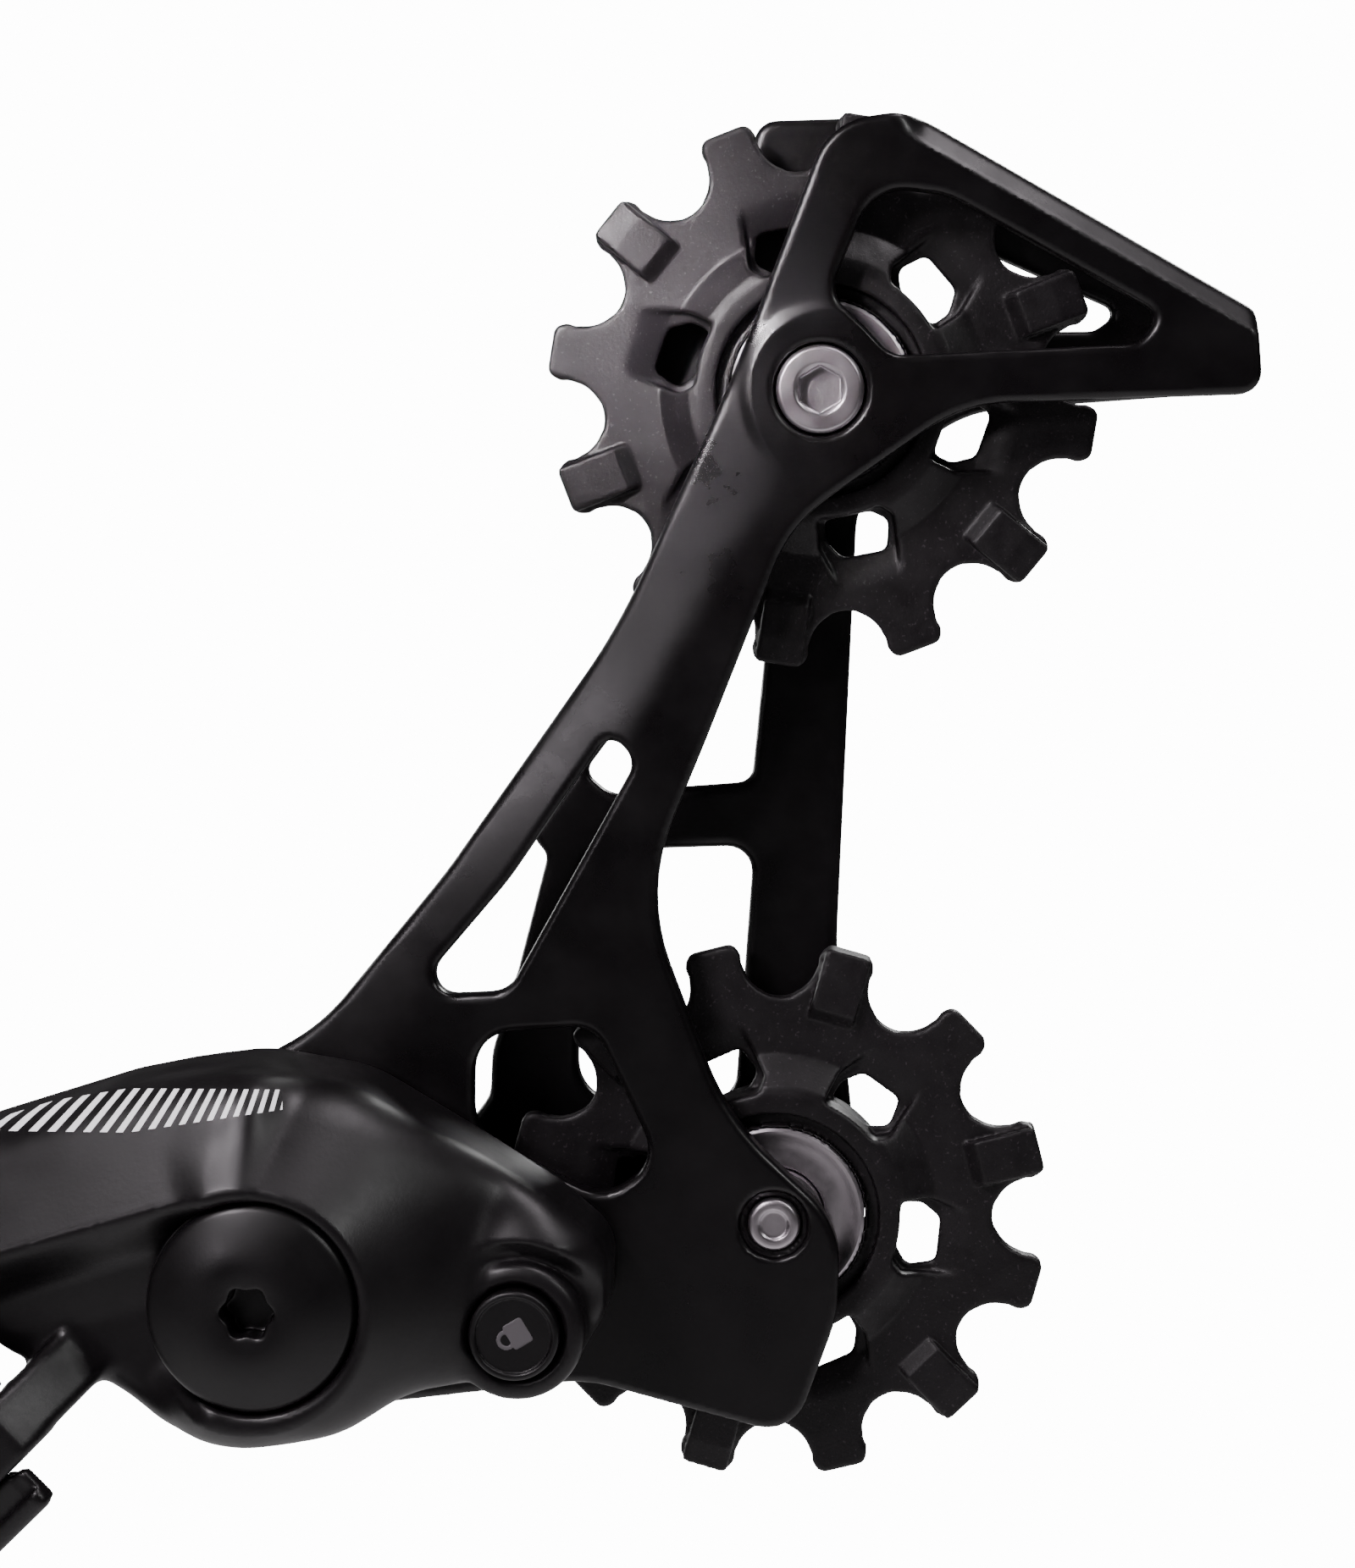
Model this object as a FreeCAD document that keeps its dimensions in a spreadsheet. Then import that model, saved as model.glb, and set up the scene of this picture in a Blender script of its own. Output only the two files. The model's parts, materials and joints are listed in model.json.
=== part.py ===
"""Rear bicycle derailleur, 1x drivetrain, cage held in its forward lock position.

Millimetres. Origin: hanger bolt axis at the outboard face of the hanger. +X forward along the
cage side, +Y inboard towards the wheel, +Z up.
"""
import FreeCAD, Part
import math
import os
import Sketcher
from FreeCAD import Placement, Rotation, Vector

doc = FreeCAD.newDocument("rear_derailleur")

# ---------------------------------------------------------------- driving dimensions
SIZES = (
    ("chain_pitch", 12.7), ("roller_radius", 4.0), ("tip_radius", 26.0), ("wide_tooth", 3.6),
    ("narrow_tooth", 2.0), ("hub_width", 7.0), ("web_width", 3.4), ("bearing_radius", 8.5),
    ("hub_radius", 12.2), ("web_radius", 20.0), ("window_radius", 2.3), ("window_ring", 13.7),
    ("ball_radius", 1.1), ("ball_ring", 5.75),
    ("plate_gap", 4.5), ("outer_thick", 3.0), ("inner_thick", 2.4), ("cage_mid", 14.0),
    ("bolt_radius", 2.5), ("head_radius", 4.1), ("run_gap", 0.04), ("pin_radius", 1.75),
    ("clutch_x", 76.4), ("clutch_z", -12.7), ("guide_dx", 45.3), ("guide_dz", 3.0),
    ("tension_dx", 4.3), ("tension_dz", 78.4), ("link_length", 40.0), ("link_slope", 14.0),
    ("axle_radius", 4.0), ("knuckle_back", 5.3), ("rim_face", -17.3),
    ("ear_low", 7.0), ("ear_thick", 3.5), ("pin_span", 29.0), ("hanger_thread", 5.0),
    ("hanger_journal", 6.0), ("hub_depth", 12.0), ("button_radius", 4.1), ("lock_dx", 22.5),
    ("lock_dz", -3.8), ("lock_pin_radius", 1.6), ("barrel_radius", 3.2), ("screw_radius", 1.5),
)
TEETH = 12
sheet = doc.addObject("Spreadsheet::Sheet", "dims")
sheet.Label = "driving dimensions"
for row, (alias, number) in enumerate(SIZES, start=1):
    sheet.set("A%d" % row, alias)
    sheet.set("B%d" % row, str(number))
    sheet.setAlias("B%d" % row, alias)
doc.recompute()
size = {alias: float(sheet.get(alias)) for alias, number in SIZES}

PARTS = []

# ---------------------------------------------------------------- places of the frames
CLUTCH = Vector(size["clutch_x"], 0, size["clutch_z"])
GUIDE = CLUTCH + Vector(size["guide_dx"], size["cage_mid"], size["guide_dz"])
TENSION = GUIDE + Vector(size["tension_dx"], 0, size["tension_dz"])
TILT = Rotation(Vector(0, 1, 0), -45)              # local x runs from the hinge end to the clutch
SLOPE = Rotation(Vector(0, 0, 1), -size["link_slope"])
STEP_X = size["link_length"] * math.cos(math.radians(size["link_slope"]))
STEP_Y = size["link_length"] * math.sin(math.radians(size["link_slope"]))
OUTER_FAR = Vector(-25.0 - STEP_X, -16.8 + STEP_Y, 0)   # hinge-side pin of the outer link
INNER_FAR = OUTER_FAR + Vector(-2.5, 8.6, 0)
OUTER_NEAR = OUTER_FAR + Vector(STEP_X, -STEP_Y, 0)
INNER_NEAR = INNER_FAR + Vector(STEP_X, -STEP_Y, 0)
CAGE_FRAME = Placement(GUIDE, Rotation())
KNUCKLE_FRAME = Placement(CLUTCH, Rotation())
TILTED_FRAME = Placement(CLUTCH, TILT)


def in_tilted(point, turn=Rotation()):
    """Placement of a local frame whose origin is a point of the tilted frame."""
    return Placement(CLUTCH + TILT.multVec(point), TILT.multiply(turn))


# ---------------------------------------------------------------- helpers
def keep(obj, label, placement=None):
    obj.Label = label
    if placement is not None:
        obj.Placement = placement
    PARTS.append(obj)
    return obj


def bind(obj, prop, text):
    """Bind a property to an expression; a plain word is a cell of the sheet."""
    obj.setExpression(prop, text)


def rod(radius, length, start="0", at=(0, 0), axis="Y", name="rod"):
    """Cylinder along +Y (or +Z) with its radius, length and start bound to the sheet."""
    solid = doc.addObject("Part::Cylinder", name)
    bind(solid, "Radius", radius)
    bind(solid, "Height", length)
    if axis == "Y":
        solid.Placement = Placement(Vector(at[0], 0, at[1]), Rotation(Vector(1, 0, 0), -90))
        bind(solid, "Placement.Base.y", start)
    else:
        solid.Placement = Placement(Vector(at[0], at[1], 0), Rotation())
        bind(solid, "Placement.Base.z", start)
    return solid


def hexagon(radius, length, start, at=(0, 0)):
    """Six-sided prism along +Y, for a wrench socket."""
    solid = doc.addObject("Part::Prism", "socket")
    solid.Polygon = 6
    bind(solid, "Circumradius", radius)
    bind(solid, "Height", length)
    solid.Placement = Placement(Vector(at[0], 0, at[1]), Rotation(Vector(1, 0, 0), -90))
    bind(solid, "Placement.Base.y", start)
    return solid


def block(lengths, corner, name="block"):
    solid = doc.addObject("Part::Box", name)
    solid.Length, solid.Width, solid.Height = lengths
    solid.Placement = Placement(Vector(*corner), Rotation())
    return solid


def join(*solids):
    result = doc.addObject("Part::MultiFuse", "join")
    result.Shapes = list(solids)
    return result


def cut(base, *tools):
    result = doc.addObject("Part::Cut", "cut")
    result.Base = base
    result.Tool = tools[0] if len(tools) == 1 else join(*tools)
    return result


def tube(outer, inner, length, start, at=(0, 0), axis="Y"):
    return cut(rod(outer, length, start, at, axis), rod(inner, length, start, at, axis))


def turned(profile, name="turned"):
    """Solid of revolution about Y from (radius, y) points."""
    points = [Vector(r, y, 0) for r, y in profile]
    face = Part.Face(Part.makePolygon(points + points[:1]))
    feature = doc.addObject("Part::Feature", name)
    feature.Shape = face.revolve(Vector(0, 0, 0), Vector(0, 1, 0), 360)
    return feature


def rounded_loop(points):
    """Closed list of edges through (x, y, corner radius) points, corners as tangent arcs."""
    ends = []
    count = len(points)
    for number, (x, y, radius) in enumerate(points):
        here = Vector(x, y, 0)
        before = Vector(points[number - 1][0], points[number - 1][1], 0) - here
        after = Vector(points[(number + 1) % count][0], points[(number + 1) % count][1], 0) - here
        half = before.getAngle(after) / 2
        if radius == 0 or abs(half - math.pi / 2) < 0.01:
            ends.append((here, here, None))
            continue
        reach = min(radius / math.tan(half), 0.48 * before.Length, 0.48 * after.Length)
        fillet = reach * math.tan(half)
        before.normalize()
        after.normalize()
        bisector = before + after
        bisector.normalize()
        centre = here + bisector * (fillet / math.sin(half))
        middle = centre - bisector * fillet
        ends.append((here + before * reach, here + after * reach, middle))
    edges = []
    for number in range(count):
        first, second, middle = ends[number]
        if middle is not None:
            edges.append(Part.Arc(first, middle, second))
        following = ends[(number + 1) % count][0]
        if second.distanceToPoint(following) > 1e-6:
            edges.append(Part.LineSegment(second, following))
    return edges


def origin_plane(body, role):
    for feature in body.Origin.OriginFeatures:
        if feature.Role == role:
            return feature


def sketch(body, height="0", role="XZ_Plane"):
    """Sketch on an origin plane, lifted along the plane's normal (-Y for XZ_Plane)."""
    drawing = body.newObject("Sketcher::SketchObject", "outline")
    drawing.AttachmentSupport = [(origin_plane(body, role), "")]
    drawing.MapMode = "FlatFace"
    bind(drawing, "AttachmentOffset.Base.z", height)
    return drawing


def circle(drawing, radius, x=0.0, y=0.0):
    """Circle in a sketch whose radius constraint is bound to the sheet."""
    number = drawing.addGeometry(Part.Circle(Vector(x, y, 0), Vector(0, 0, 1), 1.0))
    row = drawing.addConstraint(Sketcher.Constraint("Radius", number, 1.0))
    drawing.setExpression("Constraints[%d]" % row, radius)


def pad(body, drawing, length):
    feature = body.newObject("PartDesign::Pad", "pad")
    feature.Profile = drawing
    bind(feature, "Length", length)
    doc.recompute()
    return feature


def pocket(body, drawing, length):
    """Pocket through the solid in both directions of its sketch."""
    feature = body.newObject("PartDesign::Pocket", "pocket")
    feature.Profile = drawing
    feature.Midplane = True
    bind(feature, "Length", length)
    doc.recompute()
    return feature


def plate(label, outline, height, thickness, placement, windows=(), holes=(), role="XZ_Plane"):
    """Flat piece: an outline padded, with windows and round holes cut through it."""
    body = doc.addObject("PartDesign::Body", label)
    drawing = sketch(body, height, role)
    for edge in rounded_loop(outline):
        drawing.addGeometry(edge)
    pad(body, drawing, thickness)
    for loop in windows:
        opening = sketch(body, height, role)
        for edge in rounded_loop(loop):
            opening.addGeometry(edge)
        pocket(body, opening, thickness + " * 4")
    for radius, x, y in holes:
        opening = sketch(body, height, role)
        circle(opening, radius, x, y)
        pocket(body, opening, thickness + " * 4")
    return keep(body, label, placement)


# ---------------------------------------------------------------- hanger bolt and washer
def hanger_pieces():
    thread = rod("dims.hanger_thread", "10", "0")
    journal = rod("dims.hanger_journal", "dims.hub_depth + 0.6", "-dims.hub_depth - 0.6")
    head = rod("9.2", "3", "-dims.hub_depth - 3.6")
    socket = hexagon("2.9", "5", "-dims.hub_depth - 4")
    keep(cut(join(thread, journal, head), socket), "hanger_bolt")
    ring = rod("11", "2", "-2.1")
    tab = block((6.8, 2, 5), (-14.3, -2.1, 4))
    stop = block((2.1, 8, 4), (-14.3, -9, 5))
    keep(cut(join(ring, tab, stop), rod("dims.hanger_journal", "4", "-3")), "hanger_washer")


# ---------------------------------------------------------------- B-knuckle
def hinge_end_outline():
    """Side view of the B-knuckle arm, from the hub down to the hinge."""
    return ((-11.5, 11, 10), (11.5, 11, 10), (11.5, -6, 9), (4, -20, 12), (8, -30, 2),
            (-4, -41, 2), (-13.5, -33, 6), (-13.5, -12, 14))


def b_knuckle():
    shell = plate("b_knuckle_arm", hinge_end_outline(), "2.3", "dims.hub_depth - 2.3", Placement())
    PARTS.remove(shell)
    low = size["ear_low"]
    thick = size["ear_thick"]
    high = low + size["pin_span"] - thick
    ears = []
    for level in (low, high):
        ear = block((17, 16.6, thick), (OUTER_FAR.x - 13.5, OUTER_FAR.y - 3.6, level))
        ears.append(ear)
    web = block((7, 16.6, size["pin_span"]), (OUTER_FAR.x - 16, OUTER_FAR.y - 3.6, low))
    neck = block((17, 8.0, 13), (OUTER_FAR.x - 13.5, OUTER_FAR.y - 3.6, high))
    hinge = join(web, neck, *ears)
    hinge.Placement = TILTED_FRAME
    bored = []
    for far in (OUTER_FAR, INNER_FAR):
        bored.append(pivot_bore(in_tilted(far)))
    bore = rod("dims.hanger_journal + 1", "40", "-20")
    lug = join(block((10, 5.5, 5.5), (-16, -9.5, 10.5)), block((7, 5.5, 9), (-10.5, -9.5, 4)))
    screw_hole = rod("dims.screw_radius", "8", "9", (-13.4, -6.8), "Z")
    screws = [limit_rod("dims.screw_radius", "12", y, 6.0) for y in (-6.6, 2.4)]
    keep(cut(join(shell, hinge, lug), bore, screw_hole, *bored, *screws), "b_knuckle")


def pivot_bore(placement):
    """Long rod of a pivot pin's size, to bore both ears."""
    solid = doc.addObject("Part::Cylinder", "pivot_bore")
    bind(solid, "Radius", "dims.pin_radius")
    bind(solid, "Height", "dims.pin_span * 2")
    solid.Placement = placement
    return solid


def limit_rod(radius, length, y, start):
    """Rod along the links' length through the web, for a limit screw and its hole."""
    solid = doc.addObject("Part::Cylinder", "limit_rod")
    bind(solid, "Radius", radius)
    bind(solid, "Height", length)
    place = Vector(OUTER_FAR.x - 22 + start, y, 21.5)
    solid.Placement = in_tilted(place, Rotation(Vector(0, 1, 0), 90))
    return solid


def hinge_fittings():
    group = doc.addObject("Part::Compound", "pair")
    group.Links = [tube("dims.hanger_journal + 1", "dims.hanger_journal + dims.run_gap", "4.6",
                        start) for start in ("-dims.hub_depth", "-6.9")]
    keep(group, "hanger_bushings")
    screw = join(rod("dims.screw_radius", "7", "9.2", (-13.4, -6.8), "Z"),
                 rod("2.6", "2", "16.2", (-13.4, -6.8), "Z"))
    keep(screw, "b_tension_screw")
    for name, y, length in (("limit_screw_high", -6.6, "12.3"), ("limit_screw_low", 2.4, "9.6")):
        shank = limit_rod("dims.screw_radius", length, y, 5.9)
        head = limit_rod("2.5", "2", y, 3.9)
        keep(join(shank, head), name)


def pin_pieces():
    """Four pivot pins, each with a small head under its lower ear."""
    for name, place in (("hinge_pin_outer", OUTER_FAR), ("hinge_pin_inner", INNER_FAR),
                        ("knuckle_pin_outer", OUTER_NEAR), ("knuckle_pin_inner", INNER_NEAR)):
        shank = rod("dims.pin_radius", "dims.pin_span", "dims.ear_low", (0, 0), "Z")
        head = rod("dims.pin_radius + 0.9", "1.2", "dims.ear_low - 1.2", (0, 0), "Z")
        keep(join(shank, head), name, in_tilted(place))


# ---------------------------------------------------------------- links
def link_frame(far):
    return in_tilted(far, SLOPE)


def link_piece(label, far, face_y, face_thick, low, high, *extras):
    """Link: two barrels joined by a web, with a wider face that may carry further blocks."""
    base = size["ear_low"] + size["ear_thick"] + 0.3
    span = size["pin_span"] - 2 * size["ear_thick"] - 0.6
    length = size["link_length"]
    radius = size["barrel_radius"]
    barrels = []
    bores = []
    for x in (0, length):
        barrel = rod("dims.barrel_radius", "%f" % span, "%f" % base, (x, 0), "Z")
        barrels.append(barrel)
        bores.append(rod("dims.pin_radius + 0.75", "60", "0", (x, 0), "Z"))
    web = block((length, 2 * radius - 2.4, span), (0, -radius + 1.2, base))
    face = block((length - 15, face_thick, high - low), (7.5, face_y, low))
    keep(cut(join(web, face, *barrels, *extras), *bores), label, link_frame(far))


def link_bushings(label, far):
    group = doc.addObject("Part::Compound", label)
    base = size["ear_low"] + size["ear_thick"] + 0.3
    far_base = base + size["pin_span"] - 2 * size["ear_thick"] - 0.6 - 5
    rings = []
    for x in (0, size["link_length"]):
        for start in (base, far_base):
            rings.append(tube("dims.pin_radius + 0.75", "dims.pin_radius + dims.run_gap",
                              "5", "%f" % start, (x, 0), "Z"))
    group.Links = rings
    keep(group, label, link_frame(far))


def coil(radius, wire, turns, start, axis_turn):
    """Stack of close turns of wire, as separate rings fused by their overlap."""
    rings = []
    for number in range(turns):
        ring = doc.addObject("Part::Torus", "turn")
        ring.Radius1 = radius
        ring.Radius2 = wire
        shift = axis_turn.multVec(Vector(0, 0, start + number * wire * 1.9))
        ring.Placement = Placement(shift, axis_turn)
        rings.append(ring)
    return join(*rings)


def link_pieces():
    lip = block((31.6, 3.8, 4.4), (10, -3.2, 0.4))
    link_piece("outer_link", OUTER_FAR, -3.2, 3.4, 1.5, 35.5, lip)
    link_piece("inner_link", INNER_FAR, -0.4, 2.6, 11.0, 32.0)
    link_bushings("outer_link_bushings", OUTER_FAR)
    link_bushings("inner_link_bushings", INNER_FAR)
    fin = block((10, 2.0, 8.0), (18, -0.2, 32.2))
    at = (23, 36.2)
    hole = rod("dims.bolt_radius", "8", "-3", at)
    keep(cut(fin, hole), "cable_fin", link_frame(INNER_FAR))
    shank = rod("dims.bolt_radius", "5.3", "-1.3", at)
    head = rod("3.8", "2.6", "-3.9", at)
    socket = hexagon("2.0", "1.8", "-4", at)
    keep(cut(join(shank, head), socket), "cable_anchor_bolt", link_frame(INNER_FAR))
    washer = tube("3.9", "dims.bolt_radius", "1", "-1.3", at)
    keep(washer, "cable_anchor_washer", link_frame(INNER_FAR))
    stop = cut(rod("3.5", "12", "0", (0, 0), "Z"),
               rod("2.5", "9", "3.5", (0, 0), "Z"),
               rod("0.9", "14", "-1", (0, 0), "Z"))
    place = Vector(OUTER_FAR.x - 12.5, 1.9, size["ear_low"] + size["pin_span"])
    keep(stop, "cable_stop", in_tilted(place))


# ---------------------------------------------------------------- P-knuckle
def knuckle_outline():
    """Side view of the clutch body and its arm."""
    return ((-36, 4, 4), (-30, 13.6, 5), (-14.8, 18.4, 20), (-2, 21, 12), (8.1, 19.3, 14),
            (19.2, 12.7, 14), (26, 8.4, 10), (31.8, 3.5, 6), (31.5, -4.5, 6), (25, -10.6, 6),
            (13.3, -10.4, 5), (8, -14.4, 10), (-3, -16.2, 14), (-10.5, -13.6, 8),
            (-15.5, -9.2, 14), (-24, -7.4, 8), (-31, -3, 4))


def p_knuckle():
    """Cast body: stepped plates round the clutch bore, button boss and two pin ears."""
    base = plate("base", knuckle_outline(), "-dims.knuckle_back", "9", Placement())
    arm = plate("arm", ((-33, 3, 4), (-27.5, 12.4, 5), (-13, 16, 20), (0, 18, 14), (9, 14, 10),
                        (13, 0, 12), (9, -11, 10), (-2, -14.5, 12), (-9.5, -11, 8),
                        (-21, -5, 8)), "3", "11.5", Placement())
    PARTS.remove(base)
    PARTS.remove(arm)
    housing = rod("12", "dims.knuckle_back - dims.rim_face", "dims.rim_face")
    boss = rod("6.4", "14.3", "-9", (size["lock_dx"], size["lock_dz"]))
    low = size["ear_low"]
    thick = size["ear_thick"]
    high = low + size["pin_span"] - thick
    ears = []
    for level in (low, high):
        ears.append(block((19, 15.6, thick), (OUTER_NEAR.x - 5.6, OUTER_NEAR.y - 3.4, level)))
    wall = block((8, 15.6, size["pin_span"]), (OUTER_NEAR.x + 5.0, OUTER_NEAR.y - 3.4, low))
    sides = join(wall, *ears)
    sides.Placement = Placement(Vector(), TILT)
    keep_clear = block((60, 80, size["pin_span"] - 2 * thick),
                       (OUTER_NEAR.x - 56, OUTER_NEAR.y - 30, low + thick))
    keep_clear.Placement = Placement(TILT.multVec(keep_clear.Placement.Base), TILT)
    beyond = block((60, 80, 200), (OUTER_NEAR.x - 66.5, -40, -100))
    beyond.Placement = Placement(TILT.multVec(beyond.Placement.Base), TILT)
    pins = []
    for near in (OUTER_NEAR, INNER_NEAR):
        pins.append(pivot_bore(Placement(TILT.multVec(near), TILT)))
    bore = rod("9.6", "dims.knuckle_back - 3 - dims.rim_face", "dims.rim_face")
    axle_hole = rod("dims.axle_radius + 1", "20", "0")
    at = (size["lock_dx"], size["lock_dz"])
    button_hole = rod("dims.button_radius + 0.3", "11", "-9.5", at)
    stem_hole = rod("dims.lock_pin_radius + 0.1", "10", "-1", at)
    body = cut(join(base, arm, housing, boss, sides), bore, axle_hole, button_hole, stem_hole,
               keep_clear, beyond, *pins)
    keep(body, "p_knuckle", KNUCKLE_FRAME)


def clutch_pieces():
    dome = turned(((0, -19.1), (4, -18.9), (7, -18.2), (9.2, -16.9), (9.5, -16.6), (9.5, -15.2), (0, -15.2)))
    socket = hexagon("2.6", "3", "-19.4")
    keep(cut(dome, socket), "clutch_cap", KNUCKLE_FRAME)
    seal = tube("9.55", "7.6", "1", "-15.15")
    keep(seal, "cap_seal", KNUCKLE_FRAME)
    race = tube("9.55", "7", "6", "-14")
    keep(race, "clutch_race", KNUCKLE_FRAME)
    rollers = doc.addObject("Part::Compound", "rollers")
    count = 8
    pitch = 5.5
    rollers.Links = [rod("1.4", "5.4", "-13.7",
                         (pitch * math.cos(2 * math.pi * k / count),
                          pitch * math.sin(2 * math.pi * k / count))) for k in range(count)]
    keep(rollers, "clutch_rollers", KNUCKLE_FRAME)
    spring = coil(7.6, 0.9, 4, -6.5, Rotation(Vector(1, 0, 0), -90))
    keep(spring, "cage_spring", KNUCKLE_FRAME)
    bushing = tube("dims.axle_radius + 1", "dims.axle_radius + dims.run_gap", "3", "2.3")
    keep(bushing, "axle_bushing", KNUCKLE_FRAME)
    shank = rod("dims.axle_radius", "20", "-13.8")
    flange = rod("9", "1.1", "5.4")
    foot = rod("6", "2.9", "6.5")
    socket = hexagon("2.4", "4", "7")
    keep(cut(join(shank, flange, foot), socket), "cage_axle", KNUCKLE_FRAME)


def lock_pieces():
    at = (size["lock_dx"], size["lock_dz"])
    button = rod("dims.button_radius", "4.2", "-10.2", at)
    dish = rod("dims.button_radius - 0.7", "0.4", "-10.3", at)
    keep(cut(button, dish), "lock_button", KNUCKLE_FRAME)
    stem = rod("dims.lock_pin_radius", "12.2", "-6", at)
    flange = rod("dims.lock_pin_radius + 0.8", "0.8", "-6", at)
    keep(join(stem, flange), "lock_pin", KNUCKLE_FRAME)
    spring = coil(2.6, 0.4, 4, -1.65, Rotation(Vector(1, 0, 0), -90))
    placed = Placement(CLUTCH + Vector(at[0], 0, at[1]), Rotation())
    keep(spring, "lock_spring", placed)


# ---------------------------------------------------------------- cage
OUTER_OUTLINE = (
    (-64.3, -3, 18), (-60, 9.2, 12), (-43.2, 18.5, 20), (-31.2, 33.1, 60), (-14.8, 56.2, 60),
    (-3.7, 80, 80), (5.2, 102.9, 8), (12.7, 104.0, 8), (44.4, 85.7, 1.5), (44.9, 77.9, 2),
    (17.5, 77, 14), (1.6, 66, 14), (-6.5, 45.6, 40), (-12.4, 31.4, 26), (-4.4, 10, 24),
    (6.4, 0, 9), (5.9, -9, 12), (1.8, -20.4, 4), (-18, -15.2, 14), (-44, -21, 18),
    (-63, -16, 18))
TAIL_WINDOW = ((5.2, 87.5, 3), (9.2, 97, 5), (15.9, 96.2, 8), (35.6, 85.1, 2.5), (33.6, 82.4, 2.5),
               (9.9, 81.4, 3))
LONG_WINDOW = ((-15.4, 46.6, 2), (-12.9, 43.9, 2), (-18.2, 34.4, 30), (-25.2, 21.9, 3),
               (-34.6, 21.4, 2), (-25.1, 32.5, 30))
LOW_WINDOW = ((-28.4, 18.0, 4), (-17.0, 18.8, 3), (-11.0, 6.0, 4), (-16.0, 2.2, 4),
              (-28.6, 8.0, 5))
INNER_OUTLINE = (
    (-63, -2, 16), (-52, 11.5, 10), (-38, 11, 6), (-31, 6.5, 3), (-28.4, 10, 3), (-28.2, 14.4, 8),
    (-25.6, 22.4, 20), (-22.6, 33.8, 1.2), (-24.3, 35.8, 1.5), (-10.5, 55, 20), (-12.7, 68, 10),
    (-14.8, 78.4, 12), (-12.4, 89, 10), (-3.7, 96.5, 5), (-1.9, 104.5, 2.2), (8.5, 104.7, 8),
    (44.6, 86.4, 2), (44.6, 78.5, 2), (17.5, 76.7, 12), (7.6, 68, 6), (5.6, 24, 50),
    (8.0, 0, 10), (5.5, -12, 8), (-12, -15, 14), (-44, -20, 16), (-62, -15, 16))
INNER_WINDOW_LOW = ((-19.2, 34.2, 3), (-2.4, 34.8, 2.4), (-4.3, 9.4, 3), (-19.8, 9.4, 4))
INNER_WINDOW_HIGH = ((-19.0, 41.9, 1.2), (-16.3, 39.6, 3), (-9.0, 40.5, 20), (-3.3, 41.5, 2.2),
                     (-1.8, 57, 3), (-6.8, 58, 3))
INNER_TAIL_WINDOW = ((7.0, 90, 3), (9.6, 96.4, 4), (32.6, 86.1, 1.6), (30.2, 84.3, 1.6),
                     (10, 84.3, 3))


def cage_plates():
    pull = size["tension_dx"]
    rise = size["tension_dz"]
    pivot = (-size["guide_dx"], -size["guide_dz"])
    lock = (pivot[0] + size["lock_dx"], pivot[1] + size["lock_dz"])
    outer = plate("outer_flat", OUTER_OUTLINE, "dims.plate_gap", "dims.outer_thick", Placement(),
                  (TAIL_WINDOW, LONG_WINDOW, LOW_WINDOW),
                  (("dims.bolt_radius", 0, 0), ("dims.head_radius + 0.1", pull, rise),
                   ("6", pivot[0], pivot[1]), ("dims.lock_pin_radius + 0.2",) + lock))
    PARTS.remove(outer)
    collar = tube("dims.head_radius + 0.1", "dims.bolt_radius", "1.2",
                  "-dims.plate_gap - 1.2", (pull, rise))
    keep(join(outer, collar), "outer_cage_plate", CAGE_FRAME)
    plate("inner_cage_plate", INNER_OUTLINE, "-dims.plate_gap - dims.inner_thick",
          "dims.inner_thick", CAGE_FRAME,
          (INNER_WINDOW_LOW, INNER_WINDOW_HIGH, INNER_TAIL_WINDOW),
          (("dims.bolt_radius", 0, 0), ("dims.bolt_radius", pull, rise)))
    gap = "dims.plate_gap * 2"
    bridge = plate("tail_bridge", ((41.2, 84.6, 1), (44.0, 84.4, 1), (44.0, 79.5, 1), (41.2, 79.5, 1)),
                   "-dims.plate_gap", gap, CAGE_FRAME)
    spacers = doc.addObject("Part::Compound", "stops")
    spacers.Links = [rod("2.2", gap, "-dims.plate_gap", (-33, -12)),
                     rod("2.2", gap, "-dims.plate_gap", (-52, -14)),
                     rod("2.2", gap, "-dims.plate_gap", (-45.3, 8))]
    keep(spacers, "cage_spacers", CAGE_FRAME)


def cage_bolts():
    outer_face = size["plate_gap"] + size["outer_thick"]
    inner_face = size["plate_gap"] + size["inner_thick"]
    rise = (size["tension_dx"], size["tension_dz"])
    shank = rod("dims.bolt_radius", "%f" % (outer_face + inner_face + 0.6),
                "%f" % -outer_face)
    head = rod("dims.head_radius", "2.4", "%f" % inner_face)
    socket = hexagon("1.8", "2", "%f" % (inner_face + 0.9))
    keep(cut(join(shank, head), socket), "guide_bolt", CAGE_FRAME)
    shank = rod("dims.bolt_radius", "%f" % (outer_face + inner_face - 1.8),
                "%f" % (1.8 - outer_face), rise)
    head = rod("dims.head_radius", "1.8", "%f" % -outer_face, rise)
    socket = hexagon("1.8", "1.6", "%f" % (-outer_face - 0.1), rise)
    keep(cut(join(shank, head), socket), "tension_bolt", CAGE_FRAME)


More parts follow.
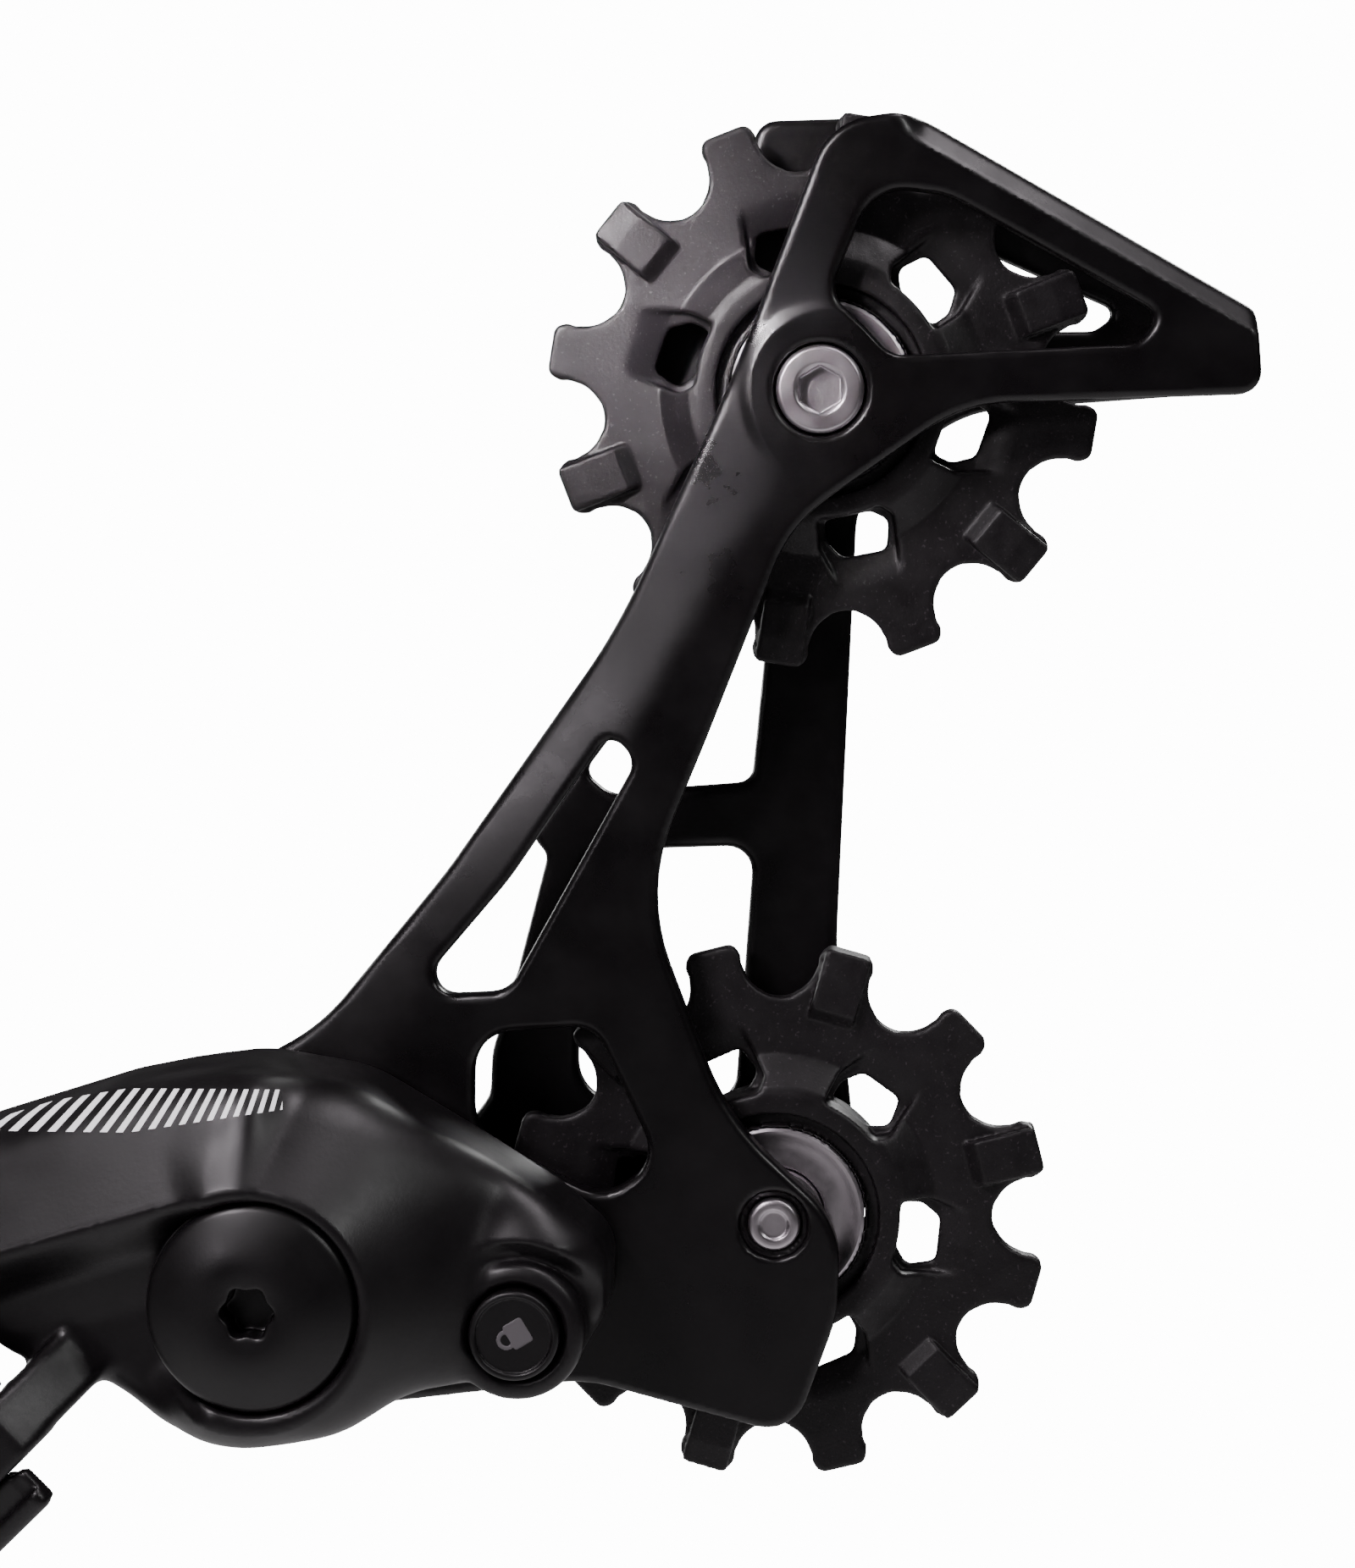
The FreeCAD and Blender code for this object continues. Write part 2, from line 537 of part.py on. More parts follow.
# ---------------------------------------------------------------- pulleys
def tooth_disc(width_alias, first):
    """Flat disc with all the teeth: roller seats, straight flanks and slightly crowned tips."""
    body = doc.addObject("PartDesign::Body", "toothed")
    drawing = sketch(body, "-%s / 2" % width_alias)
    pitch_radius = size["chain_pitch"] / 2 / math.sin(math.pi / TEETH)
    roller = size["roller_radius"]
    tip = size["tip_radius"]
    step = 2 * math.pi / TEETH
    points = []
    for tooth in range(TEETH):
        middle = first + tooth * step
        for side in (-1, 1):
            gap_middle = middle + side * step / 2
            centre = Vector(pitch_radius * math.cos(gap_middle),
                            pitch_radius * math.sin(gap_middle), 0)
            points.append((centre, middle, side))
    edges = []
    half_tip = 1.9 / tip
    last = None
    first_point = None
    for centre, middle, side in points:
        tip_point = Vector(tip * math.cos(middle + side * half_tip),
                           tip * math.sin(middle + side * half_tip), 0)
        along = math.atan2(centre.y, centre.x)
        turn = along - side * math.radians(100)
        seat_end = centre + Vector(math.cos(turn), math.sin(turn), 0) * roller
        if side < 0:
            if last is not None:
                seat = centre - Vector(math.cos(along), math.sin(along), 0) * roller
                edges.append(Part.Arc(last, seat, seat_end))
            else:
                first_point = seat_end
                first_centre = centre
                first_along = along
            edges.append(Part.LineSegment(seat_end, tip_point))
            tip_before = tip_point
        else:
            crown = Vector(tip * math.cos(middle), tip * math.sin(middle), 0) * 1.004
            edges.append(Part.Arc(tip_before, crown, tip_point))
            edges.append(Part.LineSegment(tip_point, seat_end))
            last = seat_end
    seat = first_centre - Vector(math.cos(first_along), math.sin(first_along), 0) * roller
    edges.append(Part.Arc(last, seat, first_point))
    for edge in edges:
        drawing.addGeometry(edge)
    pad(body, drawing, width_alias)
    return body


def pulley(label, first_degrees, window_degrees, placement):
    """Narrow-wide pulley: toothed disc, pads on every other tooth, hub ring, six windows."""
    first = math.radians(first_degrees)
    disc = tooth_disc("dims.narrow_tooth", first)
    web = rod("dims.web_radius", "dims.web_width", "-dims.web_width / 2")
    hub = rod("dims.hub_radius", "dims.hub_width", "-dims.hub_width / 2")
    pads = []
    holes = []
    for number in range(6):
        angle = first_degrees + 60 * number
        pad_block = block((7.4, size["wide_tooth"], 4.2), (18.0, -size["wide_tooth"] / 2, -2.1))
        turn = Rotation(Vector(0, 1, 0), -angle)
        pad_block.Placement = Placement(turn.multVec(pad_block.Placement.Base), turn)
        pads.append(pad_block)
        hole_angle = math.radians(angle + window_degrees)
        at = (size["window_ring"] * math.cos(hole_angle), size["window_ring"] * math.sin(hole_angle))
        holes.append(rod("dims.window_radius", "12", "-6", at))
    bore = rod("dims.bearing_radius", "20", "-10")
    keep(cut(join(disc, web, hub, *pads), bore, *holes), label, placement)


def bearing(prefix, placement):
    """Deep-groove bearing: inner ring on the bolt, outer ring in the pulley, balls and shields."""
    tall = "dims.plate_gap * 2"
    keep(tube("4.6", "dims.bolt_radius", tall, "-dims.plate_gap"),
         prefix + "_inner_ring", placement)
    keep(tube("dims.bearing_radius", "6.9", "5", "-2.5"), prefix + "_outer_ring",
         placement)
    balls = doc.addObject("Part::Compound", "balls")
    spheres = []
    for number in range(9):
        ball = doc.addObject("Part::Sphere", "ball")
        bind(ball, "Radius", "dims.ball_radius")
        angle = 2 * math.pi * number / 9
        ball.Placement.Base = Vector(math.cos(angle), 0, math.sin(angle)) * size["ball_ring"]
        spheres.append(ball)
    balls.Links = spheres
    keep(balls, prefix + "_balls", placement)
    shields = doc.addObject("Part::Compound", "shields")
    shields.Links = [tube("dims.bearing_radius", "4.7", "0.5", start)
                     for start in ("-3.1", "2.6")]
    keep(shields, prefix + "_shields", placement)


hanger_pieces()
b_knuckle()
hinge_fittings()
pin_pieces()
link_pieces()
p_knuckle()
clutch_pieces()
lock_pieces()
cage_plates()
cage_bolts()
TENSION_FRAME = Placement(TENSION, Rotation())
pulley("guide_pulley", 14.3, 36.3, CAGE_FRAME)
pulley("tension_pulley", 20.8, 23.7, TENSION_FRAME)
bearing("guide", CAGE_FRAME)
bearing("tension", TENSION_FRAME)
doc.recompute()

# ---------------------------------------------------------------- checks and files
for obj in doc.Objects:
    if "Invalid" in obj.State or "Error" in obj.State:
        raise RuntimeError("failed: %s (%s)" % (obj.Label, obj.Name))
for obj in PARTS:
    if obj.Shape.isNull() or not obj.Shape.isValid():
        raise RuntimeError("bad shape: " + obj.Label)
    if len(obj.Shape.Solids) == 0:
        raise RuntimeError("no solid: " + obj.Label)
os.makedirs("parts", exist_ok=True)
for obj in PARTS:
    obj.Shape.exportStep("parts/%s.step" % obj.Label)
    box = obj.Shape.BoundBox
    print("%-22s solids %d volume %.0f" % (obj.Label, len(obj.Shape.Solids), obj.Shape.Volume),
          "x %.1f..%.1f y %.1f..%.1f z %.1f..%.1f" % (box.XMin, box.XMax, box.YMin, box.YMax,
                                                      box.ZMin, box.ZMax))
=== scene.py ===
"""Looks of a rear bicycle derailleur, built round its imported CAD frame."""
import json
import math
import bpy
import bmesh
import numpy as np
from mathutils import Matrix, Vector

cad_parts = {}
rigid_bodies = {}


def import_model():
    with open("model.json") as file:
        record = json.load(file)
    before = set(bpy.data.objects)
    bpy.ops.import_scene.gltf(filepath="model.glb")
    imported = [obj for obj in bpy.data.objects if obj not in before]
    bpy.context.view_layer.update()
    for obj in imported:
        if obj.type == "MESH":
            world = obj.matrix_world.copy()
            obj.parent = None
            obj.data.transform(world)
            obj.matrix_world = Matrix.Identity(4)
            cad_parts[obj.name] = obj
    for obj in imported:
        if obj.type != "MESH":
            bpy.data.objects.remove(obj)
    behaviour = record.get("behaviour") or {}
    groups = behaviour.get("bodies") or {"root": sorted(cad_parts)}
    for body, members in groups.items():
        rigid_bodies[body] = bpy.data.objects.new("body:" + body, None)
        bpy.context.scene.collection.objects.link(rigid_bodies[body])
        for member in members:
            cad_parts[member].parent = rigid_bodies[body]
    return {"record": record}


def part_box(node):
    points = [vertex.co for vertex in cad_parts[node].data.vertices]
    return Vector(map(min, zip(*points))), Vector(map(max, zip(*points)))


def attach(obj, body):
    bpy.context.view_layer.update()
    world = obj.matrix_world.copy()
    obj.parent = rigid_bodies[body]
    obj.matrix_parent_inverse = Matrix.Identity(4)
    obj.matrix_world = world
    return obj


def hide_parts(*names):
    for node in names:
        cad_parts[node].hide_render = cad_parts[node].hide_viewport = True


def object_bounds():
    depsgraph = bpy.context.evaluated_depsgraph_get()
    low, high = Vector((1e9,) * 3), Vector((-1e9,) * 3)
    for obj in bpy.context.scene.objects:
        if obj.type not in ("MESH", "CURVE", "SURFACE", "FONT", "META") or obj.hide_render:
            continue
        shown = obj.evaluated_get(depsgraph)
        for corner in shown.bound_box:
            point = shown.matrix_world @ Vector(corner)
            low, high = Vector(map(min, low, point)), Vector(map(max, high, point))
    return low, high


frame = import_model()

CAD_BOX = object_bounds()
MM = 0.001
JOINTS = {joint["name"]: joint for joint in frame["record"]["behaviour"]["joints"]}


def joint_place(name):
    """Place of a joint in millimetres."""
    return Vector(JOINTS[name]["pos_m"]) / MM


CLUTCH = joint_place("cage_pivot")
GUIDE = joint_place("guide_spin")
TENSION = joint_place("tension_spin")


def node_box(node):
    low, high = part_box(node)
    return Vector(low) / MM, Vector(high) / MM


# ---------------------------------------------------------------- camera, light and floor
CAMERA_FROM_GUIDE = Vector((11.0, -303.9, 64.7))
CAMERA_TURN = Vector((math.radians(-4.42), 0.0, math.radians(3.85)))
LENS_MM = 73.13


def camera():
    data = bpy.data.cameras.new("camera")
    data.lens = LENS_MM
    data.sensor_width = 36
    data.clip_start = 0.01
    item = bpy.data.objects.new("camera", data)
    bpy.context.scene.collection.objects.link(item)
    turn = Matrix.Rotation(CAMERA_TURN.length, 4, CAMERA_TURN.normalized())
    level = Matrix.Rotation(math.radians(90), 4, "X")
    item.matrix_world = Matrix.Translation((GUIDE + CAMERA_FROM_GUIDE) * MM) @ turn @ level
    bpy.context.scene.camera = item


def area_light(name, place, target, width, power, colour=(1, 1, 1), spread=180):
    data = bpy.data.lights.new(name, "AREA")
    data.shape = "RECTANGLE"
    data.size = width
    data.size_y = width
    data.spread = math.radians(spread)
    data.energy = power
    data.color = colour
    item = bpy.data.objects.new(name, data)
    bpy.context.scene.collection.objects.link(item)
    item.location = place
    item.rotation_euler = (Vector(target) - Vector(place)).to_track_quat("-Z", "Y").to_euler()


def camera_only(tree, out, unlit, lit_shader):
    """Show one shader to the camera and another to the light."""
    path = tree.nodes.new("ShaderNodeLightPath")
    mix = tree.nodes.new("ShaderNodeMixShader")
    tree.links.new(path.outputs["Is Camera Ray"], mix.inputs["Fac"])
    tree.links.new(lit_shader.outputs[0], mix.inputs[1])
    tree.links.new(unlit.outputs[0], mix.inputs[2])
    tree.links.new(mix.outputs[0], out.inputs["Surface"])


WHITE = 14.0           # strength at which the paper is seen as plain white
FLOOR_DROP = 0.14      # metres from the CAD box down to the floor


def studio():
    """Three lights from the upper left, five more round the part, and a plain white surround."""
    middle = (GUIDE + Vector((-20, 0, 30))) * MM
    area_light("key", middle + Vector((-0.34, -0.62, 0.22)), middle, 0.10, 0.55, (1.0, 0.92, 0.98))
    pulley_side = (TENSION + Vector((-20, 0, 8))) * MM
    area_light("soft", pulley_side + Vector((-0.12, -0.17, 0.12)), pulley_side, 0.05, 0.42,
               (1.0, 0.93, 0.98))
    area_light("spot", pulley_side + Vector((-0.08, -0.17, 0.07)), pulley_side, 0.02, 0.008,
               (1.0, 0.93, 0.98), 14)
    area_light("back", middle + Vector((0.20, 0.50, 0.30)), middle, 0.20, 1.6)
    area_light("top", middle + Vector((0.22, -0.05, 0.60)), middle, 0.22, 1.15, (1.0, 0.93, 0.98))
    area_light("edge", middle + Vector((-0.50, 0.30, 0.10)), middle, 0.25, 1.6)
    area_light("right", middle + Vector((0.45, -0.30, 0.40)), middle, 0.10, 0.6)
    area_light("low", middle + Vector((0.05, -0.20, -0.45)), middle, 0.25, 0.2)
    world = bpy.data.worlds.new("studio")
    bpy.context.scene.world = world
    world.use_nodes = True
    tree = world.node_tree
    tree.nodes.clear()
    seen = tree.nodes.new("ShaderNodeBackground")
    seen.inputs["Color"].default_value = (1, 1, 1, 1)
    seen.inputs["Strength"].default_value = WHITE
    lit = tree.nodes.new("ShaderNodeBackground")
    lit.inputs["Color"].default_value = (1.0, 0.96, 0.99, 1)
    lit.inputs["Strength"].default_value = 0.022
    camera_only(tree, tree.nodes.new("ShaderNodeOutputWorld"), seen, lit)


# ---------------------------------------------------------------- materials
class Shader:
    """A principled material and small helpers to wire its nodes."""

    def __init__(self, name):
        self.material = bpy.data.materials.new(name)
        self.material.use_nodes = True
        tree = self.material.node_tree
        self.nodes = tree.nodes
        self.links = tree.links
        self.principled = tree.nodes["Principled BSDF"]
        coordinates = self.nodes.new("ShaderNodeTexCoord")
        self.place = coordinates.outputs["Object"]

    def put(self, value, socket):
        if isinstance(value, (int, float)):
            socket.default_value = value
        elif isinstance(value, tuple):
            socket.default_value = value if len(value) == len(socket.default_value) else value + (1,)
        else:
            self.links.new(value, socket)

    def set(self, name, value):
        self.put(value, self.principled.inputs[name])

    def math(self, operation, first, second=0.0, third=0.0):
        node = self.nodes.new("ShaderNodeMath")
        node.operation = operation
        for number, value in enumerate((first, second, third)):
            self.put(value, node.inputs[number])
        return node.outputs[0]

    def noise(self, scale, detail=3.0, roughness=0.55, place=None):
        node = self.nodes.new("ShaderNodeTexNoise")
        self.links.new(place or self.place, node.inputs["Vector"])
        node.inputs["Scale"].default_value = scale
        node.inputs["Detail"].default_value = detail
        node.inputs["Roughness"].default_value = roughness
        return node.outputs["Fac"]

    def ramp(self, value, low, high, out_low=0.0, out_high=1.0):
        node = self.nodes.new("ShaderNodeMapRange")
        self.links.new(value, node.inputs["Value"])
        for number, number_value in enumerate((low, high, out_low, out_high), start=1):
            self.put(number_value, node.inputs[number])
        return node.outputs[0]

    def mix(self, factor, first, second):
        node = self.nodes.new("ShaderNodeMix")
        node.data_type = "RGBA"
        self.put(factor, node.inputs[0])
        self.put(first, node.inputs[6])
        self.put(second, node.inputs[7])
        return node.outputs[2]

    def bump(self, height, strength, distance, under=None):
        node = self.nodes.new("ShaderNodeBump")
        node.inputs["Strength"].default_value = strength
        node.inputs["Distance"].default_value = distance
        self.links.new(height, node.inputs["Height"])
        if under is not None:
            self.links.new(under, node.inputs["Normal"])
        return node.outputs["Normal"]

    def axes(self):
        node = self.nodes.new("ShaderNodeSeparateXYZ")
        self.links.new(self.place, node.inputs[0])
        return [self.math("DIVIDE", node.outputs[number], MM) for number in range(3)]


def black_metal(name, dark, light, rough, grain_scale, grain_depth):
    """Painted or anodised black metal: cloudy tone, fine grain, a little polish from handling."""
    shader = Shader(name)
    cloud = shader.noise(60.0, 4.0)
    tone = shader.mix(shader.ramp(cloud, 0.35, 0.7), dark, light)
    shader.tone = tone
    shader.set("Base Color", tone)
    shader.set("Metallic", 0.0)
    shader.set("Roughness", shader.ramp(shader.noise(140.0, 5.0), 0.3, 0.7, rough - 0.06, rough + 0.08))
    shader.set("Specular IOR Level", 0.55)
    grain = shader.noise(grain_scale, 3.0, 0.6)
    wave = shader.noise(90.0, 2.0)
    soft = shader.bump(wave, 0.06, 0.0006)
    shader.set("Normal", shader.bump(grain, 0.35, grain_depth, soft))
    return shader


def steel(name, colour, rough):
    """Bare or plated steel with faint cloudy wear and fine scratches."""
    shader = Shader(name)
    darker = tuple(part * 0.86 for part in colour)
    shader.set("Base Color", shader.mix(shader.ramp(shader.noise(260.0), 0.35, 0.65), colour, darker))
    shader.set("Metallic", 1.0)
    wear = shader.noise(420.0, 4.0)
    shader.set("Roughness", shader.ramp(wear, 0.3, 0.7, rough - 0.05, rough + 0.07))
    scratch = shader.noise(9000.0, 2.0)
    shader.set("Normal", shader.bump(scratch, 0.05, 0.00001))
    return shader


def nylon():
    """Moulded glass-filled nylon: dull grey-black with pale specks."""
    shader = Shader("pulley_nylon")
    specks = shader.ramp(shader.noise(3200.0, 1.0, 0.5), 0.66, 0.78)
    cloud = shader.ramp(shader.noise(120.0, 4.0), 0.35, 0.7)
    base = shader.mix(cloud, (0.0060, 0.0045, 0.0056), (0.0110, 0.0085, 0.0105))
    shader.set("Base Color", shader.mix(specks, base, (0.05, 0.042, 0.048)))
    shader.set("Roughness", shader.ramp(shader.noise(500.0), 0.3, 0.7, 0.40, 0.56))
    shader.set("Specular IOR Level", 0.5)
    fine = shader.noise(2800.0, 3.0, 0.7)
    shader.set("Normal", shader.bump(fine, 0.5, 0.00005))
    return shader


# ---------------------------------------------------------------- solids from distance fields
class Field:
    """Grid of points round a piece, in millimetres; fields are negative inside the piece."""

    def __init__(self, low, high, step):
        self.step = step
        self.low = np.array(low, np.float32) - 2 * step
        counts = np.ceil((np.array(high, np.float32) + 2 * step - self.low) / step).astype(int) + 1
        axes = [self.low[k] + step * np.arange(counts[k], dtype=np.float32) for k in range(3)]
        self.x = axes[0][:, None, None]
        self.y = axes[1][None, :, None]
        self.z = axes[2][None, None, :]

    def turned(self, centre, degrees):
        """Local coordinates of a frame turned about +Y (x and z only)."""
        angle = math.radians(degrees)
        dx = self.x - centre[0]
        dz = self.z - centre[2]
        return (dx * math.cos(angle) - dz * math.sin(angle),
                dx * math.sin(angle) + dz * math.cos(angle))

    def mesh(self, name, field):
        """Surface where the field is zero, one vertex per cell that it crosses."""
        field = np.ascontiguousarray(np.broadcast_to(field, (self.x.size, self.y.size, self.z.size)))
        shape = np.array(field.shape) - 1
        total = np.zeros(tuple(shape) + (3,), np.float32)
        count = np.zeros(tuple(shape), np.float32)
        crossings = []
        for axis in range(3):
            first = [slice(None)] * 3
            second = [slice(None)] * 3
            first[axis] = slice(0, -1)
            second[axis] = slice(1, None)
            start = field[tuple(first)]
            end = field[tuple(second)]
            crossing = (start < 0) != (end < 0)
            crossings.append((crossing, start < 0))
            with np.errstate(divide="ignore", invalid="ignore"):
                share = np.where(crossing, start / (start - end), 0).astype(np.float32)
            others = [k for k in range(3) if k != axis]
            for i in (0, 1):
                for j in (0, 1):
                    window = [slice(None)] * 3
                    window[others[0]] = slice(i, i + shape[others[0]])
                    window[others[1]] = slice(j, j + shape[others[1]])
                    here = crossing[tuple(window)]
                    count += here
                    total[..., axis] += share[tuple(window)]
                    total[..., others[0]] += i * here
                    total[..., others[1]] += j * here
        active = count > 0
        index = np.full(active.shape, -1, np.int64)
        index[active] = np.arange(active.sum())
        cells = np.argwhere(active)
        points = self.low + (cells + total[active] / count[active][:, None]) * self.step
        faces = []
        for axis in range(3):
            crossing, inside = crossings[axis]
            u, v = (axis + 1) % 3, (axis + 2) % 3
            spots = np.argwhere(crossing)
            keep = (spots[:, u] > 0) & (spots[:, v] > 0)
            keep &= (spots[:, u] < shape[u]) & (spots[:, v] < shape[v])
            spots = spots[keep]
            outward = inside[tuple(spots.T)]
            corners = []
            for du, dv in ((-1, -1), (0, -1), (0, 0), (-1, 0)):
                cell = spots.copy()
                cell[:, u] += du
                cell[:, v] += dv
                corners.append(index[tuple(cell.T)])
            quad = np.stack(corners, axis=1)
            quad[~outward] = quad[~outward][:, ::-1]
            faces.append(quad)
        return mesh_object(name, points * MM, np.concatenate(faces))


def mesh_object(name, points, faces):
    data = bpy.data.meshes.new(name)
    data.from_pydata(points.tolist(), [], faces.tolist())
    data.validate()
    data.polygons.foreach_set("use_smooth", [True] * len(data.polygons))
    item = bpy.data.objects.new(name, data)
    bpy.context.scene.collection.objects.link(item)
    return item


def rounded_loop(corners, steps=8):
    """Closed outline through (x, z, radius) corners, each corner an arc."""
    points = []
    count = len(corners)
    for number, (x, z, radius) in enumerate(corners):
        here = np.array((x, z), float)
        before = np.array(corners[number - 1][:2], float) - here
        after = np.array(corners[(number + 1) % count][:2], float) - here
        reach_before = np.linalg.norm(before)
        reach_after = np.linalg.norm(after)
        before /= reach_before
        after /= reach_after
        half = math.acos(np.clip(before @ after, -1, 1)) / 2
        if radius == 0 or abs(half - math.pi / 2) < 0.01:
            points.append(here)
            continue
        reach = min(radius / math.tan(half), 0.48 * reach_before, 0.48 * reach_after)
        fillet = reach * math.tan(half)
        bisector = (before + after) / np.linalg.norm(before + after)
        centre = here + bisector * fillet / math.sin(half)
        start = here + before * reach - centre
        end = here + after * reach - centre
        angle = math.atan2(start[1], start[0])
        sweep = (math.atan2(end[1], end[0]) - angle + math.pi) % (2 * math.pi) - math.pi
        for step in range(steps + 1):
            turn = angle + sweep * step / steps
            points.append(centre + fillet * np.array((math.cos(turn), math.sin(turn))))
    return points


def outline_distance(loop, x, z):
    """Signed distance in the XZ plane from a closed outline."""
    px, pz = np.broadcast_arrays(x, z)
    best = np.full(px.shape, 1e9, np.float32)
    inside = np.zeros(px.shape, bool)
    for (ax, az), (bx, bz) in zip(loop, loop[1:] + loop[:1]):
        ex, ez = bx - ax, bz - az
        share = np.clip(((px - ax) * ex + (pz - az) * ez) / (ex * ex + ez * ez + 1e-12), 0, 1)
        best = np.minimum(best, (px - ax - share * ex) ** 2 + (pz - az - share * ez) ** 2)
        if abs(ez) > 1e-9:
            inside ^= ((az > pz) != (bz > pz)) & (px < ex * (pz - az) / ez + ax)
    best = np.sqrt(best)
    return np.where(inside, -best, best)


def slab(flat, y, low, high, edge):
    """Flat shape between two depths, its rims rounded by an edge radius."""
    deep = np.abs(y - (low + high) / 2) - (high - low) / 2
    first = np.maximum(flat + edge, 0)
    second = np.maximum(deep + edge, 0)
    return np.sqrt(first * first + second * second) - edge + np.minimum(
        np.maximum(flat + edge, deep + edge), 0)


def box_field(x, y, z, low, high, edge):
    parts = []
    for value, start, end in ((x, low[0], high[0]), (y, low[1], high[1]), (z, low[2], high[2])):
        parts.append(np.abs(value - (start + end) / 2) - (end - start) / 2 + edge)
    outside = sum(np.maximum(part, 0) ** 2 for part in parts)
    inner = np.minimum(np.maximum(np.maximum(parts[0], parts[1]), parts[2]), 0)
    return np.sqrt(outside) - edge + inner


def smooth_min(first, second, width):
    share = np.clip(0.5 + 0.5 * (second - first) / width, 0, 1)
    return second * (1 - share) + first * share - width * share * (1 - share)


def smooth_max(first, second, width):
    return -smooth_min(-first, -second, width)


def ease(value, low, high):
    share = np.clip((value - low) / (high - low), 0, 1)
    return share * share * (3 - 2 * share)


def lathe(name, profile, centre, segments=96):
    """Solid of revolution about Y through (radius, y) points; ends on the axis are closed."""
    points = []
    faces = []
    rings = []
    for radius, y in profile:
        if radius < 1e-6:
            rings.append([len(points)])
            points.append((centre[0], y, centre[2]))
            continue
        ring = []
        for number in range(segments):
            turn = 2 * math.pi * number / segments
            ring.append(len(points))
            points.append((centre[0] + radius * math.cos(turn), y, centre[2] + radius * math.sin(turn)))
        rings.append(ring)
    closed = profile[0][0] > 1e-6
    pairs = list(zip(rings, rings[1:]))
    if closed:
        pairs.append((rings[-1], rings[0]))
    for first, second in pairs:
        for number in range(segments):
            following = (number + 1) % segments
            if len(first) == 1:
                faces.append((first[0], second[following], second[number]))
            elif len(second) == 1:
                faces.append((first[number], first[following], second[0]))
            else:
                faces.append((first[number], first[following], second[following], second[number]))
    data = bpy.data.meshes.new(name)
    data.from_pydata([tuple(part * MM for part in point) for point in points], [], faces)
    shape = bmesh.new()
    shape.from_mesh(data)
    bmesh.ops.recalc_face_normals(shape, faces=shape.faces)
    for edge in shape.edges:
        edge.smooth = edge.calc_face_angle(0) < math.radians(32)
    shape.to_mesh(data)
    shape.free()
    data.polygons.foreach_set("use_smooth", [True] * len(data.polygons))
    item = bpy.data.objects.new(name, data)
    bpy.context.scene.collection.objects.link(item)
    return item


def dress(item, shader, body, slot, *nodes):
    item.data.materials.clear()
    item.data.materials.append(shader.material)
    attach(item, body)
    if nodes:
        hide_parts(*nodes)
    return item


# ---------------------------------------------------------------- pulleys
TEETH = 12
CHAIN_PITCH = 12.7
PITCH_RADIUS = CHAIN_PITCH / 2 / math.sin(math.pi / TEETH)
ROLLER = 3.8           # radius of the seat between two teeth
TIP = 26.0             # radius over the teeth
BEARING_RADIUS = 8.5
BOLT_SHANK = 2.48
BOLT_HEAD = 4.1
BOLT_HOLE = 2.5


def tooth_profile(radius, angle, first):
    """Signed distance-like field of the toothed outline, from polar coordinates."""
    step = 2 * math.pi / TEETH
    local = (angle - first + step / 2) % step - step / 2
    gap = step / 2 - np.abs(local)
    dx = radius * np.cos(gap) - PITCH_RADIUS
    dz = radius * np.sin(gap)
    seat = ROLLER - np.hypot(dx, dz)
    # the flank runs from the roller seat to a flat tip
    along = radius * np.cos(local)
    across = np.abs(radius * np.sin(local))
    flank = (across - (3.05 - 0.30 * (along - PITCH_RADIUS + 1.0))) * 0.96
    tooth = smooth_max(flank, along - TIP, 0.8)
    tooth = np.maximum(tooth, seat)
    disc = np.maximum(radius - PITCH_RADIUS + 0.9, seat)
    return smooth_min(tooth, disc, 0.35)


# corners of a window beside a thin tooth: across and along its radius, with the corner's radius
WINDOW = ((-3.1, 13.2, 1.0), (-2.2, 15.9, 0.8), (2.0, 15.6, 1.0), (3.1, 13.6, 1.2),
          (2.8, 11.8, 0.8), (1.0, 11.5, 0.8), (-1.6, 12.0, 1.0))
POCKET = ((-3.7, 12.8, 0.8), (-3.0, 18.5, 0.6), (2.8, 18.5, 0.6), (3.9, 14.2, 0.8),
          (3.4, 11.2, 0.8), (-2.2, 11.2, 0.8))


def sector(radius, angle, middle):
    """Across and along the nearest of six radii, one of which points at the given angle."""
    sixth = math.pi / 3
    local = (angle - middle + sixth / 2) % sixth - sixth / 2
    return radius * np.sin(local), radius * np.cos(local)


